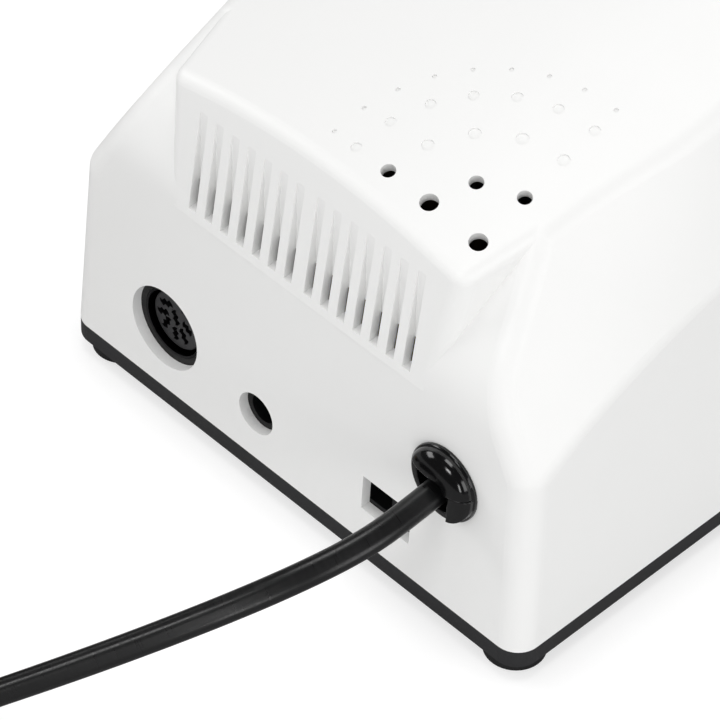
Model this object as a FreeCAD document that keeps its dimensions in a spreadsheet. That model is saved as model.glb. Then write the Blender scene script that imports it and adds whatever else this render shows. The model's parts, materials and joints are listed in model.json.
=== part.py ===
import FreeCAD, Part
import math
import os
import re

import Sketcher
from FreeCAD import Placement, Rotation, Vector

# Control box of a nail drill machine: a moulded top housing on a base tray, with the power supply
# inside, the controls on the sloping front and the sockets, vents and mains lead at the rear.
# Millimetres. +Z is up, the front faces -Y, the origin lies on the table under the box's centre.
# Stations run forward from the rear seam, heights marked "above the seam" start at the housing's foot.

SIZES = {
    # Whole box
    "body_width": 121.5,
    "body_length": 150.0,
    "wall": 2.2,
    "foot_height": 3.4,
    "band_height": 4.6,
    # Leans of the walls, in degrees from vertical
    "side_draft": 2.85,
    "rear_draft": 2.33,
    "vent_lean": 7.76,
    # Crowned top, rising forward from the rear edge of the hump
    "crown_radius": 182.0,
    "crown_slope": 16.7,
    "top_start": 6.03,
    "top_height": 78.49,
    "panel_run": 72.0,
    "crest_radius": 12.0,
    "form_top": 112.0,
    "form_overrun": 10.0,
    # Sloping control face
    "panel_tilt": 46.0,
    "lip_radius": 5.0,
    # Shoulders: an arched edge on each side wall, and the lean of the surface above it
    "shoulder_radius": 130.0,
    "shoulder_peak": 60.8,
    "shoulder_rear_station": 16.0,
    "shoulder_corner_station": 33.0,
    "shoulder_middle_station": 50.0,
    "shoulder_peak_station": 74.0,
    "shoulder_front_run": 36.0,
    "shoulder_rear_lean": 31.5,
    "shoulder_corner_lean": 29.8,
    "shoulder_middle_lean": 23.4,
    "shoulder_front_lean": 18.5,
    "shoulder_edge_radius": 5.0,
    # Scoops beside the hump
    "scoop_lean": 40.0,
    "scoop_radius": 25.0,
    "scoop_top_station": 20.5,
    "scoop_drop": 0.49,
    "scoop_edge_radius": 4.0,
    # Vent hump
    "hump_half_width": 34.5,
    "hump_flare": 0.19,
    "hump_splay": 0.072,
    "hump_foot": 47.0,
    "hump_reach": 28.0,
    "hump_corner_radius": 3.5,
    "hump_top_radius": 3.0,
    "vent_foot": 48.8,
    # Vent slots, seven each side of the middle rib
    "slot_width": 2.0,
    "slot_pitch": 4.19,
    "slot_middle_rib": 3.2,
    "slot_sill": 48.9,
    "slot_head_drop": 7.74,
    # Fan of holes and dimples on the top
    "fan_across": -33.7,
    "fan_start": 5.8,
    "fan_first_ring": 11.7,
    "fan_second_ring": 21.6,
    "fan_third_ring": 29.5,
    "fan_fourth_ring": 35.0,
    "fan_big_hole": 1.75,
    "fan_hole": 1.4,
    "fan_dimple": 1.2,
    "fan_small_dimple": 1.05,
    "fan_dot": 0.45,
    "dimple_depth": 0.35,
    # Base tray
    "tray_floor": 2.5,
    "tray_rim": 1.4,
    "tray_rim_height": 3.0,
    "tray_fit": 0.35,
    "tray_chamfer": 0.6,
    "post_radius": 3.75,
    "post_side_inset": 8.25,
    "post_end_inset": 29.0,
    "post_height": 22.0,
    "pad_height": 8.1,
    # Feet
    "foot_radius": 6.3,
    "foot_bottom_radius": 6.0,
    "foot_inset": 7.2,
    "foot_stem_radius": 2.5,
    "foot_barb": 0.45,
    # Screws
    "screw_radius": 1.5,
    "screw_head_radius": 2.9,
    "screw_head_height": 1.8,
    "case_screw_length": 14.0,
    "board_screw_length": 5.0,
    "bore_fit": 0.05,
    "clearance": 0.2,
    "inner_rounding": 0.5,
    # Rear round socket
    "din_across": 34.04,
    "din_height": 14.95,
    "din_hole": 9.0,
    "din_flange": 10.6,
    "din_flange_depth": 2.0,
    "din_depth": 12.0,
    "din_sleeve": 8.6,
    "din_bore": 7.6,
    "din_shield_wall": 0.5,
    "din_insert": 5.8,
    "din_insert_back": 1.0,
    "din_floor": 2.0,
    "din_pin_ring": 3.6,
    "din_pin_radius": 0.75,
    "din_pin_drop": 4.0,
    "din_tail": 3.0,
    # Rear pedal jack
    "jack_across": 8.7,
    "jack_height": 11.09,
    "jack_hole": 4.53,
    "jack_bore": 3.2,
    "jack_body": 12.0,
    "jack_depth": 17.0,
    # Voltage selector
    "selector_across": -25.85,
    "selector_height": 12.1,
    "selector_window_width": 12.4,
    "selector_window_height": 8.2,
    "selector_body_width": 18.0,
    "selector_body_height": 11.0,
    "selector_body_depth": 9.0,
    "selector_well": 3.0,
    "selector_key_width": 6.0,
    "selector_key_height": 5.6,
    "selector_travel": 5.0,
    # Strain relief
    "relief_across": -39.5,
    "relief_height": 29.9,
    "relief_hole": 7.0,
    "relief_flange": 8.3,
    "relief_flange_depth": 1.6,
    "relief_neck_depth": 8.0,
    "relief_split": 1.3,
    "relief_block_depth": 2.0,
    "relief_hood_radius": 6.9,
    "relief_hood_depth": 5.2,
    "relief_hood_rounding": 2.4,
    "relief_channel": 2.75,
    "relief_fit": 0.1,
    # Mains lead
    "cord_radius": 2.6,
    "cord_grip": 3.3,
    "cord_lead": 6.7,
    "coil_pitch": 5.8,
    "coil_layer": 5.75,
    "coil_outer_radius": 38.0,
    "tie_thickness": 0.5,
    "tie_width": 6.0,
    "tie_slack": 0.3,
    # Transformer
    "core_width": 57.0,
    "core_stack": 28.0,
    "core_height": 47.5,
    "core_leg": 19.0,
    "winding_reach": 9.0,
    "winding_corner": 5.0,
    "transformer_across": 12.0,
    "transformer_along": 22.0,
    "strap_width": 20.0,
    "strap_sheet": 1.0,
    "strap_foot": 9.0,
    # Circuit board
    "board_width": 92.0,
    "board_front": -62.0,
    "board_back": -8.0,
    "board_lift": 6.5,
    "board_thickness": 1.6,
    "board_inset": 5.0,
    "standoff_radius": 3.2,
    # Terminal block
    "terminal_side_inset": 20.75,
    "terminal_rear_inset": 25.0,
    "terminal_pitch": 7.0,
    "terminal_depth": 14.0,
    "terminal_height": 13.0,
    # Parts on the circuit board
    "sink_across": -19.5,
    "sink_along": -24.0,
    "sink_length": 36.0,
    "sink_height": 25.0,
    "sink_sheet": 1.8,
    "sink_reach": 8.0,
    "transistor_width": 10.0,
    "transistor_depth": 4.4,
    "transistor_height": 15.0,
    "transistor_lift": 5.0,
    "can_across": 12.0,
    "can_along": -19.0,
    "can_radius": 8.0,
    "can_height": 25.0,
    "bridge_across": -28.0,
    "bridge_along": -36.0,
    "bridge_length": 15.0,
    "bridge_depth": 6.0,
    "bridge_height": 11.0,
    "chip_across": 0.0,
    "chip_along": -40.0,
    "chip_length": 19.0,
    "chip_width": 6.4,
    "chip_height": 3.4,
    "header_across": -16.0,
    "header_along": -56.0,
    "header_pitch": 14.0,
    "header_length": 11.0,
    "header_depth": 6.0,
    "header_height": 7.0,
    "fuse_across": 30.0,
    "fuse_along": -40.0,
    "fuse_length": 20.0,
    "fuse_radius": 2.5,
    # Control face, measured down the slope from the crest
    "fascia_top": 13.0,
    "fascia_bottom": 95.0,
    "fascia_half_width": 38.0,
    "fascia_corner": 8.0,
    "fascia_thickness": 0.8,
    "knob_down": 45.0,
    "knob_radius": 17.0,
    "knob_skirt": 19.0,
    "knob_height": 15.0,
    "knob_lift": 0.6,
    "pointer_width": 1.6,
    "pointer_depth": 0.5,
    "shaft_radius": 3.0,
    "shaft_flat": 1.5,
    "bushing_radius": 3.5,
    "bushing_proud": 6.0,
    "pot_radius": 8.5,
    "pot_depth": 9.0,
    "nut_across_flats": 10.0,
    "nut_thickness": 2.0,
    "switch_down": 83.0,
    "direction_across": -9.0,
    "mode_across": 8.0,
    "power_across": 27.0,
    "bezel_width": 11.0,
    "bezel_length": 16.4,
    "bezel_proud": 1.6,
    "switch_width": 8.8,
    "switch_length": 14.4,
    "switch_depth": 13.0,
    "rocker_width": 6.6,
    "rocker_reach": 6.9,
    "rocker_pivot": -1.4,
    "rocker_ridge": 2.0,
    "rocker_tip": 3.1,
    "rocker_heel": 1.0,
    "rocker_belly": 3.0,
    "rocker_tilt": 6.5,
    "rocker_pin": 0.9,
    "switch_well": 6.0,
    "terminal_width": 3.2,
    "terminal_thickness": 0.6,
    "terminal_length": 6.0,
    "handpiece_across": -27.5,
    "handpiece_hole": 6.0,
    "handpiece_body": 8.0,
    "handpiece_depth": 14.0,
    "handpiece_ring": 8.6,
    "handpiece_ring_proud": 2.4,
    "handpiece_bore": 4.2,
    "handpiece_insert_back": 8.0,
    "led_across": 30.0,
    "led_down": 66.0,
    "led_radius": 2.5,
    "led_dome": 2.0,
    "holder_radius": 3.6,
    "holder_proud": 0.8,
    # Plug
    "plug_width": 24.0,
    "plug_thickness": 15.2,
    "plug_length": 26.0,
    "plug_neck": 16.0,
    "plug_grip_radius": 4.6,
    "blade_spacing": 12.7,
    "blade_width": 6.35,
    "blade_thickness": 1.5,
    "blade_length": 16.0,
}

doc = FreeCAD.newDocument("nail_drill_machine")
sheet = doc.addObject("Spreadsheet::Sheet", "Sizes")
for row, (size_name, size_value) in enumerate(SIZES.items(), start=1):
    sheet.set(f"A{row}", size_name)
    sheet.set(f"B{row}", str(size_value))
    sheet.setAlias(f"B{row}", size_name)
doc.recompute()

WORD = re.compile(r"[a-z_][a-z_0-9]*")
NODES = {}


def in_sheet(text):
    """A formula with each size's name pointing at its cell."""
    return WORD.sub(lambda m: "Sizes." + m.group() if m.group() in SIZES else m.group(), str(text))


def value(text):
    """The number that a formula gives now."""
    return float(sheet.evalExpression(in_sheet(text)))


def bind(item, prop, text):
    item.setExpression(prop, in_sheet(text))


# Sketches

def sketch_on(body, name, plane, offset="0"):
    sketch = body.newObject("Sketcher::SketchObject", name)
    origin_plane = next(f for f in body.Origin.OriginFeatures if f.Role == plane)
    sketch.AttachmentSupport = [(origin_plane, "")]
    sketch.MapMode = "FlatFace"
    bind(sketch, "AttachmentOffset.Base.z", offset)
    return sketch


def constrain(sketch, constraints, formulas):
    """Adds constraints and binds those that carry a size to their formulas."""
    first = sketch.ConstraintCount
    sketch.addConstraint(constraints)
    for index, formula in formulas:
        bind(sketch, f"Constraints[{first + index}]", formula)


def outline(sketch, corners):
    """A closed profile through corners given as (across, up) or (across, up, rounding radius)."""
    count = len(corners)
    at = [Vector(value(corner[0]), value(corner[1]), 0) for corner in corners]
    touch = []
    for i, corner in enumerate(corners):
        back = (at[i - 1] - at[i]).normalize()
        ahead = (at[(i + 1) % count] - at[i]).normalize()
        if len(corner) > 2:
            radius = value(corner[2])
            half = back.getAngle(ahead) / 2
            run = radius / math.tan(half)
            middle = at[i] + (back + ahead).normalize() * (radius / math.sin(half) - radius)
            touch.append((at[i] + back * run, middle, at[i] + ahead * run))
        else:
            touch.append((at[i], at[i], at[i]))
    sides = [
        sketch.addGeometry(Part.LineSegment(touch[i][2], touch[(i + 1) % count][0]))
        for i in range(count)
    ]
    constraints = []
    formulas = []
    for i, corner in enumerate(corners):
        before = sides[i - 1]
        after = sides[i]
        if len(corner) > 2:
            arc = sketch.addGeometry(Part.Arc(*touch[i]))
            starts_here = sketch.getPoint(arc, 1).distanceToPoint(touch[i][0]) < 1e-6
            near, far = (1, 2) if starts_here else (2, 1)
            constraints.append(Sketcher.Constraint("Tangent", before, 2, arc, near))
            constraints.append(Sketcher.Constraint("Tangent", after, 1, arc, far))
            formulas.append((len(constraints), corner[2]))
            constraints.append(Sketcher.Constraint("Radius", arc, value(corner[2])))
            spot = (sketch.addGeometry(Part.Point(at[i]), True), 1)
            constraints.append(Sketcher.Constraint("PointOnObject", *spot, before))
            constraints.append(Sketcher.Constraint("PointOnObject", *spot, after))
        else:
            constraints.append(Sketcher.Constraint("Coincident", before, 2, after, 1))
            spot = (after, 1)
        formulas.append((len(constraints), corner[0]))
        constraints.append(Sketcher.Constraint("DistanceX", -1, 1, *spot, at[i].x))
        formulas.append((len(constraints), corner[1]))
        constraints.append(Sketcher.Constraint("DistanceY", -1, 1, *spot, at[i].y))
    constrain(sketch, constraints, formulas)


def circle(sketch, across, up, radius):
    centre = Vector(value(across), value(up), 0)
    ring = sketch.addGeometry(Part.Circle(centre, Vector(0, 0, 1), value(radius)))
    constrain(
        sketch,
        [
            Sketcher.Constraint("DistanceX", -1, 1, ring, 3, centre.x),
            Sketcher.Constraint("DistanceY", -1, 1, ring, 3, centre.y),
            Sketcher.Constraint("Radius", ring, value(radius)),
        ],
        [(0, across), (1, up), (2, radius)],
    )


# Features

def new_body(name):
    return doc.addObject("PartDesign::Body", name)


def pad(body, sketch, length, both_ways=False, reverse=False):
    feature = body.newObject("PartDesign::Pad", sketch.Name + "_pad")
    feature.Profile = sketch
    feature.Midplane = both_ways
    feature.Reversed = reverse
    bind(feature, "Length", length)
    return feature


def pocket(body, sketch, length, both_ways=True, reverse=False):
    feature = body.newObject("PartDesign::Pocket", sketch.Name + "_pocket")
    feature.Profile = sketch
    feature.Midplane = both_ways
    feature.Reversed = reverse
    bind(feature, "Length", length)
    return feature


def loft(body, name, sections):
    feature = body.newObject("PartDesign::AdditiveLoft", name)
    feature.Profile = sections[0]
    feature.Sections = sections[1:]
    return feature


def dress_edges(body, kind, name, chosen, prop, size):
    """Dresses the edges of the body's last feature for which chosen(edge) is true."""
    doc.recompute()
    tip = body.Tip
    edges = [f"Edge{i}" for i, edge in enumerate(tip.Shape.Edges, start=1) if chosen(edge)]
    dressing = body.newObject(kind, name)
    dressing.Base = (tip, edges)
    bind(dressing, prop, size)


def round_edges(body, name, chosen, radius):
    dress_edges(body, "PartDesign::Fillet", name, chosen, "Radius", radius)


def bevel_edges(body, name, chosen, size):
    dress_edges(body, "PartDesign::Chamfer", name, chosen, "Size", size)


def node(item, name):
    item.Label = name
    NODES[name] = item


SEAM = "(foot_height + band_height)"
REAR = "(body_length / 2)"
SCOOP_TOP = "(top_height - scoop_drop)"
SLOT_HEAD = "(top_height - slot_head_drop)"
SPAN = "(4 * body_length)"
HALF_SPAN = "(2 * body_length)"

# Places, each a formula for a Placement

def upright(x="0", y="0", z="0"):
    return f"placement(vector({x}; {y}; {z}); rotation(vector(0; 0; 1); 0))"


def on_rear(across, height, out="0"):
    """On the rear wall, at a height above the seam: local y runs up the wall, z outward."""
    y = f"{REAR} - ({height})*tan(rear_draft) + ({out})*cos(rear_draft)"
    z = f"{SEAM} + ({height}) + ({out})*sin(rear_draft)"
    return f"placement(vector({across}; {y}; {z}); rotationx(-(90 - rear_draft)) * rotationz(180))"


CREST_STATION = "(body_length - panel_run)"
CREST_HEIGHT = f"({SEAM} + top_height + ({CREST_STATION} - top_start)*tan(crown_slope))"


def on_panel(across, down, out="0", tilt="0"):
    """On the control face, down the slope from the crest: local y runs up the slope, z outward."""
    y = f"{REAR} - {CREST_STATION} - ({down})*cos(panel_tilt) - ({out})*sin(panel_tilt)"
    z = f"{CREST_HEIGHT} - ({down})*sin(panel_tilt) + ({out})*cos(panel_tilt)"
    return f"placement(vector({across}; {y}; {z}); rotationx(panel_tilt + ({tilt})))"


def on_top(along, turn, out="0"):
    """On the crowned top, forward along its slope and turned about its long axis: local z outward."""
    reach = f"(crown_radius*(cos({turn}) - 1) + ({out})*cos({turn}))"
    x = f"(crown_radius + ({out}))*sin({turn})"
    y = f"{REAR} - top_start - ({along})*cos(crown_slope) + {reach}*sin(crown_slope)"
    z = f"{SEAM} + top_height + ({along})*sin(crown_slope) + {reach}*cos(crown_slope)"
    return f"placement(vector({x}; {y}; {z}); rotationx(-crown_slope) * rotationy({turn}))"


def shifted(place, x="0", y="0", z="0"):
    return f"{place} * {upright(x, y, z)}"


# Solids

def block(name, length, width, height, place):
    """A box standing on its place, centred on it."""
    item = doc.addObject("Part::Box", name)
    bind(item, "Length", length)
    bind(item, "Width", width)
    bind(item, "Height", height)
    bind(item, "Placement", shifted(place, f"-({length})/2", f"-({width})/2"))
    return item


def cylinder(name, radius, height, place):
    item = doc.addObject("Part::Cylinder", name)
    bind(item, "Radius", radius)
    bind(item, "Height", height)
    bind(item, "Placement", place)
    return item


def turned(name, corners, place):
    """A solid turned about the local z axis from corners given as (radius, height)."""
    body = new_body(name)
    sketch = sketch_on(body, f"{name}_profile", "XZ_Plane")
    outline(sketch, corners)
    feature = body.newObject("PartDesign::Revolution", f"{name}_turn")
    feature.Profile = sketch
    feature.ReferenceAxis = (sketch, ["V_Axis"])
    feature.Angle = 360
    bind(body, "Placement", place)
    return body


def extruded(name, corners, length, place, plane="XY_Plane", both_ways=False):
    """A solid pushed out from its profile. Its place is a formula, or None where it is set later."""
    body = new_body(name)
    sketch = sketch_on(body, f"{name}_profile", plane)
    outline(sketch, corners)
    pad(body, sketch, length, both_ways)
    if place is not None:
        bind(body, "Placement", place)
    return body


def rectangle(length, width, radius=None):
    """Corners of a centred rectangle, rounded where a radius is given."""
    corners = [("-", "-"), ("", "-"), ("", ""), ("-", "")]
    rounding = () if radius is None else (radius,)
    return [(f"{a}({length})/2", f"{b}({width})/2", *rounding) for a, b in corners]


def fuse(name, items):
    item = doc.addObject("Part::MultiFuse", name)
    item.Shapes = items
    item.Refine = True
    return item


def group(name, items):
    item = doc.addObject("Part::Compound", name)
    item.Links = items
    return item


def cut(name, base, tools):
    item = doc.addObject("Part::Cut", name)
    item.Base = base
    item.Tool = tools[0] if len(tools) == 1 else group(f"{name}_tools", tools)
    return item


def common(name, first, second):
    item = doc.addObject("Part::Common", name)
    item.Base = first
    item.Tool = second
    return item


POST_ACROSS = "(body_width/2 - post_side_inset)"
POST_ALONG = f"({REAR} - post_end_inset)"
FOUR_CORNERS = ((-1, -1), (1, -1), (1, 1), (-1, 1))


# Top housing


def shoulder_height(station):
    """Height above the seam of the arched shoulder edge."""
    ahead = f"({station} - shoulder_peak_station)"
    return f"(shoulder_peak - shoulder_radius + sqrt(shoulder_radius^2 - {ahead}^2))"


SHOULDER_STATIONS = (
    ("-form_overrun", "shoulder_rear_lean"),
    ("shoulder_rear_station", "shoulder_rear_lean"),
    ("shoulder_corner_station", "shoulder_corner_lean"),
    ("shoulder_middle_station", "shoulder_middle_lean"),
    ("shoulder_peak_station", "shoulder_front_lean"),
    ("(shoulder_peak_station + shoulder_front_run)", "shoulder_front_lean"),
    ("(body_length + form_overrun)", "shoulder_front_lean"),
)


def trim_outside(body, tag, plane, corners):
    """Cuts away all that lies outside an outline seen square to one of the main planes."""
    sketch = sketch_on(body, f"{body.Name}_{tag}", plane)
    far = HALF_SPAN
    outline(sketch, [(f"-{far}", f"-{far}"), (far, f"-{far}"), (far, far), (f"-{far}", far)])
    outline(sketch, corners)
    pocket(body, sketch, SPAN)


def trim_crown(body, inset):
    """Cuts the crowned top: an arc across the box, carried along the slope of the top."""
    sketch = sketch_on(body, f"{body.Name}_crown", "XZ_Plane", f"top_start - {REAR}")
    sketch.AttachmentOffset = Placement(Vector(), Rotation(Vector(-1, 0, 0), value("crown_slope")))
    bind(sketch, "AttachmentOffset.Base.y", f"{SEAM} + top_height")
    bind(sketch, "AttachmentOffset.Base.z", f"top_start - {REAR}")
    bind(sketch, "AttachmentOffset.Rotation.Angle", "crown_slope")
    radius = value("crown_radius") - value(inset)
    half = value("body_width")
    drop = math.sqrt(value("crown_radius") ** 2 - half ** 2) - value("crown_radius")
    left, right = Vector(-half, drop, 0), Vector(half, drop, 0)
    up = Vector(0, value("body_length"), 0)
    arc = sketch.addGeometry(Part.Arc(left, Vector(0, -value(inset), 0), right))
    rise = sketch.addGeometry(Part.LineSegment(right, right + up))
    back = sketch.addGeometry(Part.LineSegment(right + up, left + up))
    fall = sketch.addGeometry(Part.LineSegment(left + up, left))
    start = sketch.getPoint(arc, 1)
    left_end, right_end = (1, 2) if start.x < 0 else (2, 1)
    constrain(
        sketch,
        [
            Sketcher.Constraint("Coincident", arc, right_end, rise, 1),
            Sketcher.Constraint("Coincident", rise, 2, back, 1),
            Sketcher.Constraint("Coincident", back, 2, fall, 1),
            Sketcher.Constraint("Coincident", fall, 2, arc, left_end),
            Sketcher.Constraint("Vertical", rise),
            Sketcher.Constraint("Vertical", fall),
            Sketcher.Constraint("Horizontal", back),
            Sketcher.Constraint("DistanceX", -1, 1, arc, 3, 0.0),
            Sketcher.Constraint("DistanceY", -1, 1, arc, 3, -value("crown_radius")),
            Sketcher.Constraint("Radius", arc, radius),
            Sketcher.Constraint("DistanceX", -1, 1, arc, right_end, half),
            Sketcher.Constraint("DistanceY", -1, 1, back, 1, value("body_length")),
            Sketcher.Constraint("DistanceX", -1, 1, arc, left_end, -half),
        ],
        [
            (8, "-crown_radius"),
            (9, f"crown_radius - {inset}"),
            (10, "body_width"),
            (11, "body_length"),
            (12, "-body_width"),
        ],
    )
    pocket(body, sketch, SPAN)


def core_form(name, inset):
    """The housing without its vent hump, every surface set in by the inset."""
    body = new_body(name)
    sections = []
    for number, (station, lean) in enumerate(SHOULDER_STATIONS):
        sketch = sketch_on(body, f"{name}_shoulder_{number}", "XZ_Plane", f"{station} - {REAR}")
        edge_height = shoulder_height(station)
        edge = f"(body_width/2 - {edge_height}*tan(side_draft) - {inset}/cos({lean}))"
        foot = f"({edge} + {edge_height}*tan({lean}))"
        head = f"({edge} - (form_top - {edge_height})*tan({lean}))"
        top = f"{SEAM} + form_top"
        outline(sketch, [(f"-{foot}", SEAM), (foot, SEAM), (head, top), (f"-{head}", top)])
        sections.append(sketch)
    loft(body, f"{name}_flanks", sections)

    foot = f"(body_width/2 - {inset}/cos(side_draft))"
    head = f"({foot} - form_top*tan(side_draft))"
    top = f"{SEAM} + form_top"
    trim_outside(body, "sides", "XZ_Plane",
                 [(f"-{foot}", SEAM), (foot, SEAM), (head, top), (f"-{head}", top)])

    rear_in = f"({inset}/cos(rear_draft))"
    scoop_in = f"(scoop_top_station + {inset}/cos(scoop_lean))"
    bend_height = (f"(({scoop_in} - {SCOOP_TOP}*tan(scoop_lean) - {rear_in})"
                   "/(tan(rear_draft) - tan(scoop_lean)))")
    bend_station = f"({bend_height}*tan(rear_draft) + {rear_in})"
    scoop_end = f"({scoop_in} + (form_top - {SCOOP_TOP})*tan(scoop_lean))"
    crest_height = (f"(top_height + ({CREST_STATION} - top_start)*tan(crown_slope)"
                    f" - {inset}/cos(panel_tilt))")
    panel_top_station = f"({CREST_STATION} + ({crest_height} - form_top)/tan(panel_tilt))"
    front_station = f"(body_length - {rear_in})"
    lip_height = (f"(({crest_height} + ({CREST_STATION} - {front_station})*tan(panel_tilt))"
                  "/(1 - tan(rear_draft)*tan(panel_tilt)))")
    lip_station = f"({front_station} - {lip_height}*tan(rear_draft))"
    trim_outside(body, "profile", "YZ_Plane", [
        (f"{REAR} - {rear_in}", SEAM),
        (f"{REAR} - {bend_station}", f"{SEAM} + {bend_height}", f"scoop_radius - {inset}"),
        (f"{REAR} - {scoop_end}", top),
        (f"{REAR} - {panel_top_station}", top),
        (f"{REAR} - {lip_station}", f"{SEAM} + {lip_height}"),
        (f"{REAR} - {front_station}", SEAM),
    ])
    trim_crown(body, inset)
    return body


def hump_form(name, inset):
    """The block that carries the vent wall, set in like the core and running into it."""
    body = new_body(name)
    side_in = f"({inset}*sqrt(1 + hump_flare^2 + hump_splay^2))"
    sections = []
    for number, station in enumerate(("-form_overrun/2", "hump_reach")):
        sketch = sketch_on(body, f"{name}_{number}", "XZ_Plane", f"{station} - {REAR}")
        foot = (f"(hump_half_width + hump_flare*({station} - vent_foot*tan(rear_draft)) - {side_in})")
        head = f"({foot} + hump_splay*(form_top - hump_foot))"
        low = f"{SEAM} + hump_foot + {inset}"
        top = f"{SEAM} + form_top"
        outline(sketch, [(f"-{foot}", low), (foot, low), (head, top), (f"-{head}", top)])
        sections.append(sketch)
    loft(body, f"{name}_block", sections)

    foot_station = f"(vent_foot*tan(rear_draft) + {inset}/cos(vent_lean))"
    below = "(vent_foot/2)"
    trim_outside(body, "profile", "YZ_Plane", [
        (f"{REAR} - {foot_station} + (vent_foot - {below})*tan(vent_lean)", f"{SEAM} + {below}"),
        (f"{REAR} - {foot_station} - (form_top - vent_foot)*tan(vent_lean)", f"{SEAM} + form_top"),
        ("-body_length", f"{SEAM} + form_top"),
        ("-body_length", f"{SEAM} + {below}"),
    ])
    trim_crown(body, inset)
    return body


def crosses_middle(edge):
    return edge.BoundBox.XMin < -1 and edge.BoundBox.XMax > 1


def round_form(core, hump, inset):
    """Rounds the edges of the two forms, by the outer radii less the inset."""
    seam = value(SEAM)
    rear = value(REAR)
    vent_back = rear - value("hump_reach")
    vent_top = rear - value("form_top*tan(vent_lean)")
    top = max(edge.BoundBox.ZMax for edge in core.Shape.Edges)

    def radius(outer):
        return f"max({outer} - {inset}; inner_rounding)"

    def on_crest(edge):
        return crosses_middle(edge) and edge.BoundBox.ZMax > top - 1

    def on_lip(edge):
        box = edge.BoundBox
        return crosses_middle(edge) and box.YMax < -0.9 * rear and box.ZMin > seam + 1

    def on_scoop(edge):
        box = edge.BoundBox
        bowed = edge.Curve.TypeId == "Part::GeomEllipse"
        return crosses_middle(edge) and bowed and box.YMin > rear / 2 and box.ZMin > 0.7 * top

    def on_side(edge):
        return not crosses_middle(edge) and edge.BoundBox.ZMax > seam + 0.5

    def on_hump_corner(edge):
        box = edge.BoundBox
        upright = box.ZMax - box.ZMin > 15 and box.YMin > vent_back
        return not crosses_middle(edge) and upright and box.YMax < rear + 2 and box.YMin > vent_top

    def on_hump_top(edge):
        box = edge.BoundBox
        return box.ZMin > seam + value(SLOT_HEAD) and box.YMax > vent_back + 1

    round_edges(core, f"{core.Name}_crest_round", on_crest, radius("crest_radius"))
    round_edges(core, f"{core.Name}_lip_round", on_lip, radius("lip_radius"))
    if inset == "0":
        # Inside, the edge above the scoops stays sharp where the hump's roof runs into it
        round_edges(core, f"{core.Name}_scoop_round", on_scoop, "scoop_edge_radius")
    round_edges(core, f"{core.Name}_side_round", on_side, radius("shoulder_edge_radius"))
    round_edges(hump, f"{hump.Name}_corner_round", on_hump_corner, radius("hump_corner_radius"))
    round_edges(hump, f"{hump.Name}_top_round", on_hump_top, radius("hump_top_radius"))


def whole_form(name, inset):
    core = core_form(f"{name}_core", inset)
    hump = hump_form(f"{name}_hump", inset)
    doc.recompute()
    round_form(core, hump, inset)
    return fuse(name, [core, hump])


FLOOR_TOP = "(foot_height + tray_floor)"
PAD_TOP = "(foot_height + pad_height)"
VENT_FACE = "(vent_foot*tan(rear_draft))"
PANEL_BACK = "(-wall)"
SLOTS_EACH_SIDE = 7
FAN_RINGS = (
    "fan_first_ring",
    "fan_second_ring",
    "fan_third_ring",
    "fan_fourth_ring",
)


def vent_slots():
    """Slots cut straight in from the rear, so that their floor runs out where the wall leans in."""
    slots = []
    floor = f"({VENT_FACE} + ({SLOT_HEAD} - vent_foot)*tan(vent_lean))"
    for side in (-1, 1):
        for number in range(SLOTS_EACH_SIDE):
            across = f"{side}*(slot_middle_rib/2 + slot_width/2 + {number}*slot_pitch)"
            place = upright(across, f"{REAR} - {floor}/2", f"{SEAM} + slot_sill")
            slots.append(block(f"slot_{len(slots)}", "slot_width", floor, f"{SLOT_HEAD} - slot_sill", place))
    return slots


def fan_holes():
    """Rings of holes that shrink to dimples, fanned over a quarter turn from the first hole."""
    dots = [("fan_across", "fan_start", "fan_big_hole", True)]
    for ring, radius in enumerate(FAN_RINGS):
        # Each ring has two more than the one inside it
        count = 2 * ring + 3
        for number in range(count):
            turn = f"(90*{number}/{count - 1})"
            across = f"fan_across + {radius}*cos{turn}"
            along = f"fan_start + {radius}*sin{turn}"
            if ring == 0:
                size, through = ("fan_big_hole" if number == 0 else "fan_hole"), True
            elif ring == 1:
                size, through = ("fan_hole" if number == 0 else "fan_dimple"), number == 0
            else:
                size, through = ("fan_small_dimple" if ring == 2 else "fan_dot"), False
            dots.append((across, along, size, through))
    holes = []
    for across, along, size, through in dots:
        turn = f"(({across})/crown_radius*180/pi)"
        depth = "(2*wall)" if through else "dimple_depth"
        place = on_top(along, turn, f"-{depth}")
        holes.append(cylinder(f"fan_{len(holes)}", size, f"({depth} + clearance)", place))
    return holes


def through_rear(name, radius, across, height):
    return cylinder(name, radius, "4*wall", on_rear(across, height, "-2*wall"))


def panel_cuts():
    """The shallow seat of the control panel and the openings in the wall under it."""
    seat_middle = "((fascia_top + fascia_bottom)/2)"
    seat = extruded(
        "panel_seat",
        rectangle("2*fascia_half_width + 2*clearance", "fascia_bottom - fascia_top + 2*clearance",
                  "fascia_corner + clearance"),
        "fascia_thickness + wall",
        on_panel("0", seat_middle, "-fascia_thickness"),
    )
    return [seat, *panel_openings("wall", "2*wall")]


def panel_openings(tag, depth):
    """Tools for the openings of every control, through the depth given."""
    start = f"-{depth}"
    openings = [
        cylinder(f"{tag}_knob_hole", "bushing_radius + clearance", f"2*({depth})",
                 on_panel("0", "knob_down", start)),
        cylinder(f"{tag}_handpiece_hole", "handpiece_hole + clearance", f"2*({depth})",
                 on_panel("handpiece_across", "switch_down", start)),
        cylinder(f"{tag}_lamp_hole", "led_radius + 2*clearance", f"2*({depth})",
                 on_panel("led_across", "led_down", start)),
    ]
    for switch in ("direction", "mode", "power"):
        openings.append(block(
            f"{tag}_{switch}_hole", "switch_width + 2*clearance", "switch_length + 2*clearance",
            f"2*({depth})", on_panel(f"{switch}_across", "switch_down", start)))
    return openings


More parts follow.
